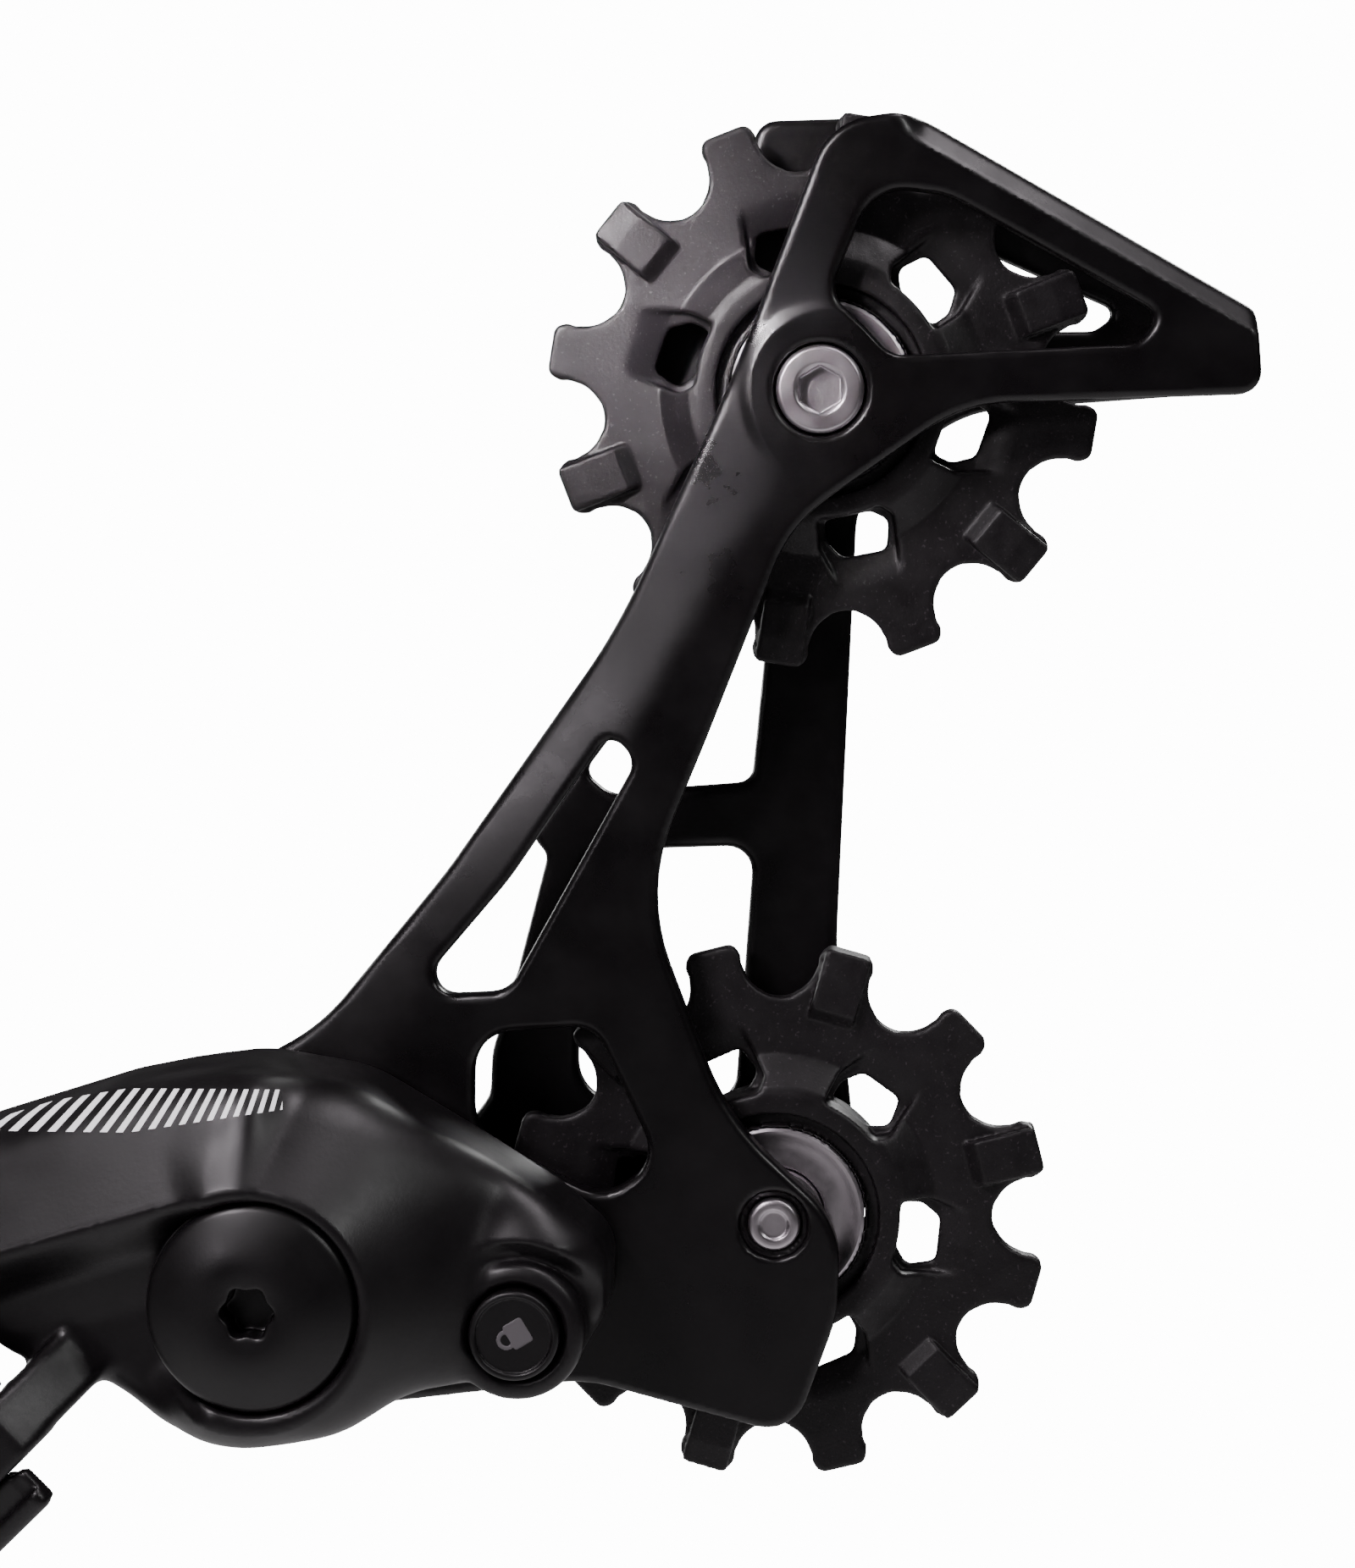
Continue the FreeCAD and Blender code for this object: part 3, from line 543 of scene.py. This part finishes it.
def pulley(name, centre, first_degrees, hand, shader, body, nodes):
    """Narrow-wide pulley: thin teeth, raised wedge teeth, a coned hub, windows in pockets."""
    field = Field((centre[0] - 26.4, centre[1] - 3.7, centre[2] - 26.4),
                  (centre[0] + 26.4, centre[1] + 3.7, centre[2] + 26.4), 0.26)
    dx = field.x - centre[0]
    dz = field.z - centre[2]
    y = np.abs(field.y - centre[1])
    radius = np.hypot(dx, dz)
    angle = np.arctan2(dz, dx)
    first = math.radians(first_degrees)
    flat = tooth_profile(radius, angle, first)
    cone = np.clip(3.35 - (radius - 12.4) * 0.78, 1.05, 3.35)
    blank = slab(flat, y, -cone, cone, 0.25)
    # wedges on the thick teeth, each with a sloped inner end
    across, along = sector(radius, angle, first)
    top = np.minimum(1.05 + (along - 18.9) * 0.85, 2.15 - 0.12 * np.maximum(along - 23.5, 0))
    wedge = smooth_max(np.abs(across) - 2.2, y - top, 0.25)
    wedge = np.maximum(wedge, np.maximum(flat, 18.6 - along))
    body_field = np.minimum(blank, wedge)
    # windows and their pockets, whose outer wall leans towards the hub
    across, along = sector(radius, angle, first + math.radians(30 + 6.3 * hand))
    across = across * hand
    pocket = outline_distance(rounded_loop(POCKET), across, along)
    floor_level = 0.30 + 0.85 * np.clip((along - 15.8) / 2.7, 0, 1)
    body_field = smooth_max(body_field, -smooth_max(pocket, floor_level - y, 0.3), 0.35)
    window = outline_distance(rounded_loop(WINDOW), across, along)
    body_field = smooth_max(body_field, -window, 0.25)
    # hub ring and the dark groove round the bearing
    hub = smooth_max(radius - 11.9, y - 3.45, 0.5)
    body_field = smooth_min(body_field, np.maximum(hub, BEARING_RADIUS - radius), 0.4)
    groove = np.maximum(np.abs(radius - 9.35) - 0.55, 2.3 - y)
    body_field = smooth_max(body_field, -groove, 0.25)
    body_field = smooth_max(body_field, 8.55 - radius, 0.15)
    item = field.mesh(name, body_field)
    return dress(item, shader, body, "pulley_nylon", *nodes)


# radius and depth from the pulley's middle plane
SHIELD_PROFILE = ((BEARING_RADIUS, 2.55), (BEARING_RADIUS, 3.25), (8.2, 3.4), (7.8, 3.35), (7.5, 3.2),
                  (6.2, 3.12), (5.6, 3.3), (4.9, 3.3), (4.75, 3.15), (4.75, 2.55))


def shields(name, centre, shader, body, nodes):
    """Two polished bearing covers with a rolled lip and a shallow groove."""
    for side, label in ((-1, "outboard"), (1, "inboard")):
        y = centre[1]
        profile = [(radius, y + side * depth) for radius, depth in SHIELD_PROFILE]
        item = lathe(name + "_" + label, profile, centre)
        dress(item, shader, body, "steel_silver", *nodes)


# ---------------------------------------------------------------- cage plates
OUTER_OUTLINE = (
    (-64.3, -3, 18), (-60, 9.2, 12), (-43.2, 18.5, 20), (-31.2, 33.1, 60), (-14.8, 56.2, 60),
    (-3.7, 80, 80), (5.1, 102.8, 8), (12.7, 103.9, 8), (44.3, 85.5, 1.5), (44.9, 77.8, 2),
    (17.5, 77, 14), (1.6, 66, 14), (-6.5, 45.6, 40), (-12.4, 31.4, 26), (-4.4, 10, 24),
    (6.4, 0, 9), (5.9, -9, 12), (1.8, -20.4, 4), (-18, -15.2, 14), (-44, -18.6, 18),
    (-63, -16, 18))
TAIL_WINDOW = ((5.2, 87.5, 3), (9.2, 97, 5), (15.9, 96.2, 8), (35.6, 85.1, 2.5), (33.6, 82.4, 2.5),
               (9.9, 81.4, 3))
LONG_WINDOW = ((-15.4, 46.6, 2), (-12.9, 43.9, 2), (-18.2, 34.4, 30), (-25.2, 21.9, 3),
               (-34.6, 21.4, 2), (-25.1, 32.5, 30))
LOW_WINDOW = ((-28.4, 18.0, 4), (-17.0, 18.8, 3), (-11.0, 6.0, 4), (-16.0, 2.2, 4),
              (-28.6, 8.0, 5))
INNER_OUTLINE = (
    (-63, -2, 16), (-52, 11.5, 10), (-38, 11, 6), (-31, 6.5, 3), (-28.4, 10, 3), (-28.2, 14.4, 8),
    (-25.6, 22.4, 20), (-22.6, 33.8, 1.2), (-24.3, 35.8, 1.5), (-10.5, 55, 20), (-12.7, 68, 10),
    (-14.8, 78.4, 12), (-12.4, 89, 10), (-3.7, 96.5, 5), (-1.9, 104.5, 2.2), (8.5, 104.7, 8),
    (44.6, 86.4, 2), (44.6, 78.5, 2), (17.5, 76.7, 12), (7.6, 68, 6), (5.6, 24, 50),
    (8.0, 0, 10), (5.5, -12, 8), (-12, -15, 14), (-44, -18.4, 16), (-62, -15, 16))
INNER_WINDOW_LOW = ((-19.2, 34.2, 3), (-2.4, 34.8, 2.4), (-4.3, 9.4, 3), (-19.8, 9.4, 4))
INNER_WINDOW_HIGH = ((-19.0, 41.9, 1.2), (-16.3, 39.6, 3), (-9.0, 40.5, 20), (-2.6, 41.0, 1.6),
                     (-1.0, 57, 3), (-6.8, 58, 3))
INNER_TAIL_WINDOW = ((7.0, 90, 3), (9.6, 96.4, 4), (32.6, 86.1, 1.6), (30.2, 84.3, 1.6), (10, 84.3, 3))


def plate_field(node, outline, windows, step):
    """Grid round a plate and its outline field with its windows cut out."""
    low, high = node_box(node)
    field = Field(low, high, step)
    x = field.x - GUIDE[0]
    z = field.z - GUIDE[2]
    flat = outline_distance(rounded_loop(outline), x, z)
    for window in windows:
        flat = np.maximum(flat, -outline_distance(rounded_loop(window), x, z))
    return field, flat, low, high


def outer_plate(shader):
    windows = (TAIL_WINDOW, LONG_WINDOW, LOW_WINDOW)
    field, flat, low, high = plate_field("outer_cage_plate", OUTER_OUTLINE, windows, 0.36)
    x = field.x - GUIDE[0]
    z = field.z - GUIDE[2]
    pull = TENSION[0] - GUIDE[0]
    rise = TENSION[2] - GUIDE[2]
    # left of a soft crease the face leans back towards the long outer edge
    crease = 1.3 - (70.6 - z) * 0.56
    lean = np.maximum(crease - x, 0)
    lean = lean * lean / (lean + 3.0)
    slope = 0.10 + 0.15 * np.exp(-((z - 50) / 17) ** 2)
    front = low[1] + np.minimum(slope * lean, 2.2) * ease(z, 8, 30) * (1 - ease(z, 74, 98))
    # the tail's upper edge is a flat bevel
    bevel = (x - 12.6) * 0.495 + (z - 103.0) * 0.869 + 1.5
    front = front + np.maximum(bevel, 0) * 0.95 * ease(x, 11, 14)
    shape = slab(flat, field.y, front, high[1], 0.55)
    # ring boss round the tension bolt and the guide bolt's recess
    from_tension = np.hypot(x - pull, z - rise)
    boss = slab(from_tension - 6.4, field.y, low[1] + 0.1, high[1] - 0.5, 0.6)
    shape = smooth_min(shape, boss, 2.2)
    shape = np.maximum(shape, low[1] - field.y)
    bowl = smooth_max(from_tension - 4.3, field.y - (low[1] + 1.8), 0.1)
    shape = smooth_max(shape, -bowl, 0.5)
    shape = np.maximum(shape, BOLT_HOLE - from_tension)
    from_guide = np.hypot(x, z)
    recess = smooth_max(from_guide - 3.25, field.y - (low[1] + 0.8), 0.1)
    shape = smooth_max(shape, -recess, 0.25)
    shape = np.maximum(shape, BOLT_HOLE - from_guide)
    pivot = np.hypot(x - (CLUTCH[0] - GUIDE[0]), z - (CLUTCH[2] - GUIDE[2]))
    shape = np.maximum(shape, 6.0 - pivot)
    lock = np.hypot(x - (CLUTCH[0] - GUIDE[0]) - LOCK_X, z - (CLUTCH[2] - GUIDE[2]) - LOCK_Z)
    shape = smooth_max(shape, 1.8 - lock, 0.2)
    dress(field.mesh("outer_plate", shape), shader, "cage", "cage_black", "outer_cage_plate")


def inner_plate(shader):
    windows = (INNER_WINDOW_LOW, INNER_WINDOW_HIGH, INNER_TAIL_WINDOW)
    field, flat, low, high = plate_field("inner_cage_plate", INNER_OUTLINE, windows, 0.4)
    shape = slab(flat, field.y, low[1], high[1], 0.6)
    for centre in (GUIDE, TENSION):
        away = np.hypot(field.x - centre[0], field.z - centre[2])
        shape = np.maximum(shape, BOLT_HOLE - away)
    dress(field.mesh("inner_plate", shape), shader, "cage", "cage_black", "inner_cage_plate")


def tail_bridge(shader):
    low, high = node_box("tail_bridge")
    field = Field(low, high, 0.25)
    shape = box_field(field.x, field.y, field.z, low, high, 0.6)
    waist = np.hypot(field.x - low[0] + 0.4, (field.y - GUIDE[1]) * 0.6) - 1.5
    shape = smooth_max(shape, -waist, 0.5)
    dress(field.mesh("tail_bridge_cast", shape), shader, "cage", "cage_black", "tail_bridge")


# ---------------------------------------------------------------- bolts
TENSION_SOCKET = 3.9
GUIDE_SOCKET = 3.0
COS_60 = 0.5
SIN_60 = 0.8660254


def hex_field(x, z, across_flats):
    """Distance to a hexagon with the given width across flats."""
    x = np.abs(x)
    z = np.abs(z)
    return np.maximum(x * COS_60 + z * SIN_60, x) - across_flats / 2


def tension_bolt(shader):
    low, high = node_box("tension_bolt")
    field = Field(low, high, 0.11)
    x = field.x - TENSION[0]
    z = field.z - TENSION[2]
    away = np.hypot(x, z)
    head = slab(away - BOLT_HEAD, field.y, low[1], low[1] + 1.8, 0.12)
    bevel = (away - BOLT_HEAD) * 0.7 + (low[1] + 0.35 - field.y) * 0.7
    head = np.maximum(head, bevel)
    shank = slab(away - BOLT_SHANK, field.y, low[1] + 1.0, high[1], 0.3)
    shape = np.minimum(head, shank)
    socket = np.maximum(hex_field(x, z, TENSION_SOCKET), field.y - (low[1] + 1.6))
    cone = away - 2.4 + 1.5 * (field.y - low[1])
    shape = smooth_max(shape, -np.minimum(socket, cone), 0.08)
    dress(field.mesh("tension_bolt_turned", shape), shader, "cage", "steel_silver", "tension_bolt")


def guide_bolt(shader):
    low, high = node_box("guide_bolt")
    field = Field(low, high, 0.13)
    x = field.x - GUIDE[0]
    z = field.z - GUIDE[2]
    away = np.hypot(x, z)
    shank = slab(away - BOLT_SHANK, field.y, low[1], high[1] - 1.0, 0.55)
    dimple = np.maximum(away - 1.35, field.y - (low[1] + 0.25))
    shank = smooth_max(shank, -dimple, 0.2)
    head = slab(away - BOLT_HEAD, field.y, high[1] - 2.4, high[1], 0.4)
    shape = np.minimum(shank, head)
    socket = np.maximum(hex_field(x, z, GUIDE_SOCKET), (high[1] - 1.5) - field.y)
    shape = smooth_max(shape, -socket, 0.08)
    dress(field.mesh("guide_bolt_turned", shape), shader, "cage", "steel_silver", "guide_bolt")


# ---------------------------------------------------------------- P-knuckle
LOCK_X = 22.5
LOCK_Z = -3.8
TILT_ROOT = math.sqrt(0.5)
NEAR_PIN_FORWARD = -25.0
NEAR_PIN_Y = -16.8
INNER_PIN_SHIFT = (-2.5, 8.6)
EAR_SPANS = ((4.95, 10.5), (32.5, 36.0))
TRIM = 0.1             # knuckle and outer link stop this far inside their nodes' boxes, outboard
KNUCKLE_OUTLINE = (
    (-36, 4, 4), (-30, 13.6, 5), (-14.8, 18.4, 20), (-2, 21, 12), (8.1, 19.3, 14),
    (19.2, 12.7, 14), (26, 8.4, 10), (31.8, 3.5, 6), (31.5, -4.5, 6), (25, -10.6, 6),
    (13.3, -10.4, 5), (8, -14.4, 10), (-3, -16.2, 14), (-10.5, -13.6, 8),
    (-15.5, -9.2, 14), (-24, -7.4, 8), (-31, -3, 4))


def tilted(field, origin):
    """Coordinates along the links (forward) and along the pins."""
    dx = field.x - origin[0]
    dz = field.z - origin[2]
    return (dx + dz) * TILT_ROOT, (dz - dx) * TILT_ROOT


def p_knuckle(shader):
    """Cast clutch body: housing with a comma-shaped rim, printed upper flank, button boss, ears."""
    low, high = node_box("p_knuckle")
    field = Field(low, high, 0.4)
    x = field.x - CLUTCH[0]
    z = field.z - CLUTCH[2]
    y = field.y
    flat = outline_distance(rounded_loop(KNUCKLE_OUTLINE), x, z - 0.15)
    flat = flat + 1.2 + 0.8 * ease(-z, 8, 14) - 0.5 * ease(z, 6, 12) * ease(-x, 0, 10)
    radius = np.hypot(x + 0.3, z + 0.3)
    # the comma's crest: round the cap, then down to the left along the flank's foot
    above = (z - 10.7 + 0.30 * np.maximum(-x - 2, 0)) * 0.96
    flank = 17.0 - 0.60 * np.maximum(above, 0) - 0.07 * np.maximum(-x - 4, 0)
    hollow = 11.6 + 0.16 * np.maximum(above + 9, 0)
    left = hollow + (flank - hollow) * ease(above, -5.0, 0.4)
    fade = ease(-x, -8, 1)
    left = left * fade + (1 - fade) * 4.0
    cone = 17.2 - 0.95 * np.maximum(radius - 10.9, 0)
    turn = np.arctan2(z, x)
    opened = ease(np.abs(np.abs(turn) - math.pi), 0.35, 1.25)
    cone = cone * opened + 9.0 * (1 - opened)
    rise = smooth_max(left, cone, 2.2)
    web = 7.2 - 0.05 * radius
    rise = smooth_max(rise, web, 2.0)
    # shoulder round the button: a ridge, a groove and a rolled lip
    boss_radius = np.hypot(x - LOCK_X, z - LOCK_Z)
    ridge = 8.4 - 0.7 * np.abs(boss_radius - 8.4)
    ridge = ridge - 3.0 * (1 - ease(z - LOCK_Z - 0.5 * (x - LOCK_X), -1, 6))
    rise = smooth_max(rise, ridge, 1.6)
    body = smooth_max(flat, -rise - y, 3.0)
    body = smooth_max(body, y - high[1], 0.5)
    boss = slab(boss_radius - 6.3, y, -9.0, high[1] - 1, 1.1)
    body = smooth_min(body, boss, 0.9)
    # ears that hold the link pins
    forward, along = tilted(field, CLUTCH)
    near_f = NEAR_PIN_FORWARD
    near_y = NEAR_PIN_Y
    ears = None
    for start, end in EAR_SPANS:
        ear = box_field(forward, y, along, (near_f - 5.6, near_y - 3.4, start),
                        (near_f + 13.4, near_y + 12.2, end), 0.9)
        lug = slab(np.hypot(forward - near_f, y - near_y) - 4.6, along, start, end, 0.5)
        ear = smooth_min(ear, lug, 0.6)
        ears = ear if ears is None else np.minimum(ears, ear)
    ears = smooth_max(ears, (near_y - 3.4 + 1.1 * (forward - near_f - 2.5) - y) * 0.67, 1.0)
    wall = box_field(forward, y, along, (near_f + 5.0, -10.6, 7.0),
                     (near_f + 13.0, near_y + 12.2, 36.0), 1.4)
    body = smooth_min(body, smooth_min(ears, wall, 1.0), 0.9)
    swept = box_field(forward, y, along, (near_f - 60, -60, 10.5), (near_f + 4.2, 60, 32.5), 0.3)
    body = smooth_max(body, -swept, 0.3)
    body = np.maximum(body, (near_f - 6.0) - forward)
    body = np.maximum(body, low[1] + TRIM - y)
    # bores
    bore = np.maximum(np.hypot(x, z) - 9.55, y - 2.2)
    body = smooth_max(body, -bore, 0.8)
    body = np.maximum(body, 5.0 - radius)
    well = np.maximum(boss_radius - 4.4, y - 1.5)
    body = smooth_max(body, -well, 0.35)
    body = np.maximum(body, 1.7 - boss_radius)
    for f, depth in ((near_f, near_y), (near_f + INNER_PIN_SHIFT[0], near_y + INNER_PIN_SHIFT[1])):
        body = np.maximum(body, 1.75 - np.hypot(forward - f, y - depth))
    dress(field.mesh("p_knuckle_cast", body), shader, "p_knuckle", "cast_black", "p_knuckle")


def lobe_field(x, z, size):
    """Six-lobe socket outline."""
    angle = np.arctan2(z, x)
    return np.hypot(x, z) - size * (1 + 0.09 * np.cos(6 * angle))


def clutch_cap(shader):
    low, high = node_box("clutch_cap")
    field = Field(low, high, 0.15)
    x = field.x - CLUTCH[0]
    z = field.z - CLUTCH[2]
    radius = np.hypot(x, z)
    # dished dome: low rim, a soft swell and a sunk middle round the socket
    rise = low[1] + 0.028 * radius ** 2 + 1.1 * np.exp(-(radius / 3.1) ** 2) - 0.25
    shape = smooth_max(radius - 9.4, rise - field.y, 0.7)
    shape = np.maximum(shape, field.y - high[1])
    socket = np.maximum(lobe_field(x, z, 2.2), field.y - (low[1] + 3.4))
    shape = smooth_max(shape, -socket, 0.3)
    dress(field.mesh("clutch_cap_domed", shape), shader, "p_knuckle", "black_plastic", "clutch_cap")


def lock_button(shader, print_shader):
    low, high = node_box("lock_button")
    field = Field(low, high, 0.16)
    x = field.x - CLUTCH[0] - LOCK_X
    z = field.z - CLUTCH[2] - LOCK_Z
    radius = np.hypot(x, z)
    shape = slab(radius - 4.1, field.y, low[1], high[1], 0.35)
    dish = np.maximum(radius - 3.45, field.y - (low[1] + 0.35))
    shape = smooth_max(shape, -dish, 0.2)
    dress(field.mesh("lock_button_cap", shape), shader, "lock_button", "black_plastic", "lock_button")
    # generic padlock: a body and a shackle
    spot = Field((low[0] + 1.0, low[1] + 0.1, low[2] + 1.0),
                 (high[0] - 1.0, low[1] + 0.6, high[2] - 1.0), 0.09)
    u, v = spot.turned((CLUTCH[0] + LOCK_X, 0, CLUTCH[2] + LOCK_Z), 239)
    body = smooth_max(np.abs(u) - 1.25, np.abs(v + 0.45) - 1.0, 0.3)
    ring = np.maximum(np.abs(np.hypot(u, v - 0.75) - 0.72) - 0.22, 0.2 - v)
    sign = np.minimum(body, ring)
    sign = np.maximum(sign, np.abs(spot.y - (low[1] + 0.38)) - 0.09)
    dress(spot.mesh("padlock_sign", sign), print_shader, "lock_button", "black_plastic")


# one plain band of bars on the flank, tapered to both ends: corners from the clutch axis, clockwise
HATCH_BAND = ((-26.0, 16.4), (-12.0, 18.6), (2.0, 18.6), (2.0, 16.8), (-12.0, 14.6), (-26.0, 14.6))
FAN = (10.0, 47.0)     # point that the bars fan out from
BAR_PITCH = 0.0295     # radians from bar to bar
BAR_SHARE = 0.45       # share of the pitch that is printed
PRINT_PAINTED_GLOW = 0.9       # painted glow: the printed bars emit light so that the ink looks brighter than plain white paint


def inside_outline(shader, x, z, corners):
    """1 inside a convex outline given clockwise, else 0."""
    result = 1.0
    for (ax, az), (bx, bz) in zip(corners, corners[1:] + corners[:1]):
        first = shader.math("MULTIPLY", shader.math("SUBTRACT", x, ax), bz - az)
        second = shader.math("MULTIPLY", shader.math("SUBTRACT", z, az), bx - ax)
        side = shader.math("GREATER_THAN", first, second)
        result = side if result == 1.0 else shader.math("MULTIPLY", result, side)
    return result


def hatch_print(shader):
    """1 on the white bars of the plain printed band on the knuckle's upper flank, else 0."""
    x, y, z = shader.axes()
    # the print is laid on along a slant, measured where the flank is 11 mm outboard
    deep = shader.math("ADD", y, 11.0)
    x = shader.math("MULTIPLY_ADD", deep, 0.20, shader.math("SUBTRACT", x, CLUTCH[0]))
    z = shader.math("MULTIPLY_ADD", deep, 0.18, shader.math("SUBTRACT", z, CLUTCH[2]))
    turn = shader.math("ARCTAN2", shader.math("SUBTRACT", x, FAN[0]), shader.math("SUBTRACT", FAN[1], z))
    phase = shader.math("FRACT", shader.math("ADD", shader.math("DIVIDE", turn, BAR_PITCH), 100.0))
    bars = shader.math("LESS_THAN", phase, BAR_SHARE)
    mask = shader.math("MULTIPLY", inside_outline(shader, x, z, HATCH_BAND), bars)
    return shader.math("MULTIPLY", mask, shader.math("LESS_THAN", y, -2.0))


# ---------------------------------------------------------------- links
LINK_LENGTH = 40.0
LINK_SLOPE = math.radians(14)
BARREL_RADIUS = 3.2
LINK_BORE = 1.9


def link_frame(field, joint):
    """Coordinates along a link, across it in depth, and along its pins."""
    origin = joint_place(joint)
    forward, along = tilted(field, CLUTCH)
    ox = (origin[0] - CLUTCH[0] + origin[2] - CLUTCH[2]) * TILT_ROOT
    df = forward - ox
    dy = field.y - origin[1]
    return (df * math.cos(LINK_SLOPE) - dy * math.sin(LINK_SLOPE),
            df * math.sin(LINK_SLOPE) + dy * math.cos(LINK_SLOPE), along)


def outer_link(shader):
    """Forged outer link: two barrels, a web, a dished face, and a lip with a neck at its lower edge."""
    low, high = node_box("outer_link")
    margin = Vector((4, 1, 3))
    field = Field(low - margin, high + margin, 0.26)
    u, v, w = link_frame(field, "parallelogram")
    shape = None
    for end in (0.0, LINK_LENGTH):
        barrel = slab(np.hypot(u - end, v) - BARREL_RADIUS, w, 10.8, 32.2, 0.4)
        shape = barrel if shape is None else np.minimum(shape, barrel)
    web = box_field(u, v, w, (0.0, -1.9, 10.8), (LINK_LENGTH, 1.9, 32.2), 0.8)
    swell = 0.0016 * (u - 20.0) ** 2 + 0.0020 * (w - 18.5) ** 2
    face = box_field(u, v, w, (7.5, -3.2, 1.5), (32.5, 0.2, 35.5), 1.1)
    face = smooth_max(face, -v - 3.2 + swell, 0.8)
    lip = box_field(u, v, w, (9.0, -3.2, 0.4), (41.6, 1.4, 4.4), 0.8)
    lip = smooth_max(lip, -box_field(u, v, w, (30.0, -9.0, 2.2), (60.0, -2.4, 9.0), 0.3), 0.4)
    neck = box_field(u, v, w, (28.0, -2.4, 2.0), (40.2, 1.4, 4.75), 0.4)
    shape = smooth_min(smooth_min(shape, web, 1.2), smooth_min(face, lip, 1.0), 1.4)
    shape = smooth_min(shape, neck, 0.5)
    for end in (0.0, LINK_LENGTH):
        shape = np.maximum(shape, LINK_BORE - np.hypot(u - end, v))
    shape = np.maximum(shape, low[1] + TRIM - field.y)
    dress(field.mesh("outer_link_forged", shape), shader, "outer_link", "forged_black", "outer_link")


def soft_copy(node, name, shader, body, slot, voxel, rounds=6):
    """Cast version of a designed piece: same shape with its sharp edges rolled off."""
    source = bpy.data.objects[node]
    data = bpy.data.meshes.new_from_object(source)
    data.transform(source.matrix_world)
    item = bpy.data.objects.new(name, data)
    bpy.context.scene.collection.objects.link(item)
    data.remesh_voxel_size = voxel * MM
    grid = item.modifiers.new("grid", "REMESH")
    grid.mode = "VOXEL"
    grid.voxel_size = voxel * MM
    relax = item.modifiers.new("relax", "SMOOTH")
    relax.factor = 0.5
    relax.iterations = rounds
    bpy.context.view_layer.update()
    result = bpy.data.meshes.new_from_object(item.evaluated_get(bpy.context.evaluated_depsgraph_get()))
    item.modifiers.clear()
    item.data = result
    result.polygons.foreach_set("use_smooth", [True] * len(result.polygons))
    return dress(item, shader, body, slot, node)


# ---------------------------------------------------------------- floor and assembly
def floor():
    """Pale sheet, low enough for the cage to swing down in front of it."""
    data = bpy.data.meshes.new("floor")
    level = CAD_BOX[0][2] - FLOOR_DROP
    reach = 6.0
    data.from_pydata([(-reach, -reach, level), (reach, -reach, level), (reach, reach, level),
                      (-reach, reach, level)], [], [(0, 1, 2, 3)])
    item = bpy.data.objects.new("floor", data)
    bpy.context.scene.collection.objects.link(item)
    shader = Shader("floor_paper")
    shader.set("Base Color", (0.93, 0.93, 0.93))
    shader.set("Roughness", 0.9)
    glow = shader.nodes.new("ShaderNodeEmission")
    glow.inputs["Strength"].default_value = WHITE
    camera_only(shader.material.node_tree, shader.nodes["Material Output"], glow, shader.principled)
    data.materials.append(shader.material)


def carried_over(materials):
    """Give every CAD node that is still shown its slot's material."""
    for part in frame["record"]["subparts"]:
        item = bpy.data.objects[part["node"]]
        if item.hide_render:
            continue
        item.data.materials.clear()
        item.data.materials.append(materials[part["material_slot"]].material)


def main():
    cast = black_metal("cast_black", (0.0044, 0.0034, 0.0042), (0.0078, 0.0060, 0.0075), 0.38, 2200.0,
                       0.00003)
    forged = black_metal("forged_black", (0.0050, 0.0040, 0.0048), (0.0090, 0.0072, 0.0086), 0.38,
                         1800.0, 0.00003)
    plate = black_metal("cage_black", (0.0030, 0.0022, 0.0028), (0.0055, 0.0042, 0.0052), 0.30, 2600.0,
                        0.00001)
    silver = steel("steel_silver", (0.70, 0.65, 0.69), 0.34)
    dark_steel = steel("black_steel", (0.05, 0.048, 0.05), 0.38)
    plastic = black_metal("black_plastic", (0.0030, 0.0025, 0.0030), (0.0050, 0.0040, 0.0048), 0.36,
                          3000.0, 0.00002)
    rubber = black_metal("seal_rubber", (0.006, 0.006, 0.006), (0.010, 0.010, 0.010), 0.70, 1500.0,
                         0.00003)
    moulded = nylon()
    printed = Shader("sign_print")
    printed.set("Base Color", (0.16, 0.15, 0.16))
    printed.set("Roughness", 0.55)
    hatch = hatch_print(cast)
    cast.set("Base Color", cast.mix(hatch, cast.tone, (0.82, 0.80, 0.82)))
    # painted glow: besides their white colour, the printed bars emit light of their own
    cast.set("Emission Color", (1.0, 0.98, 1.0))
    cast.set("Emission Strength", cast.math("MULTIPLY", hatch, PRINT_PAINTED_GLOW))
    carried = {"cast_black": cast, "forged_black": forged, "cage_black": plate,
               "pulley_nylon": moulded, "steel_silver": silver, "black_plastic": plastic,
               "seal_rubber": rubber, "black_steel": dark_steel}
    pulley("guide_pulley_moulded", GUIDE, 14.3, 1, moulded, "guide_pulley", ["guide_pulley"])
    pulley("tension_pulley_moulded", TENSION, 20.8, -1, moulded, "tension_pulley", ["tension_pulley"])
    shields("guide_shield", GUIDE, silver, "guide_pulley", ["guide_shields"])
    shields("tension_shield", TENSION, silver, "tension_pulley", ["tension_shields"])
    outer_plate(plate)
    inner_plate(plate)
    tail_bridge(plate)
    tension_bolt(silver)
    guide_bolt(silver)
    p_knuckle(cast)
    clutch_cap(plastic)
    lock_button(plastic, printed)
    outer_link(forged)
    soft_copy("b_knuckle", "b_knuckle_cast", cast, "b_knuckle", "cast_black", 0.45)
    soft_copy("inner_link", "inner_link_forged", forged, "inner_link", "forged_black", 0.4)
    carried_over(carried)
    floor()
    studio()
    camera()


main()
bpy.context.view_layer.update()
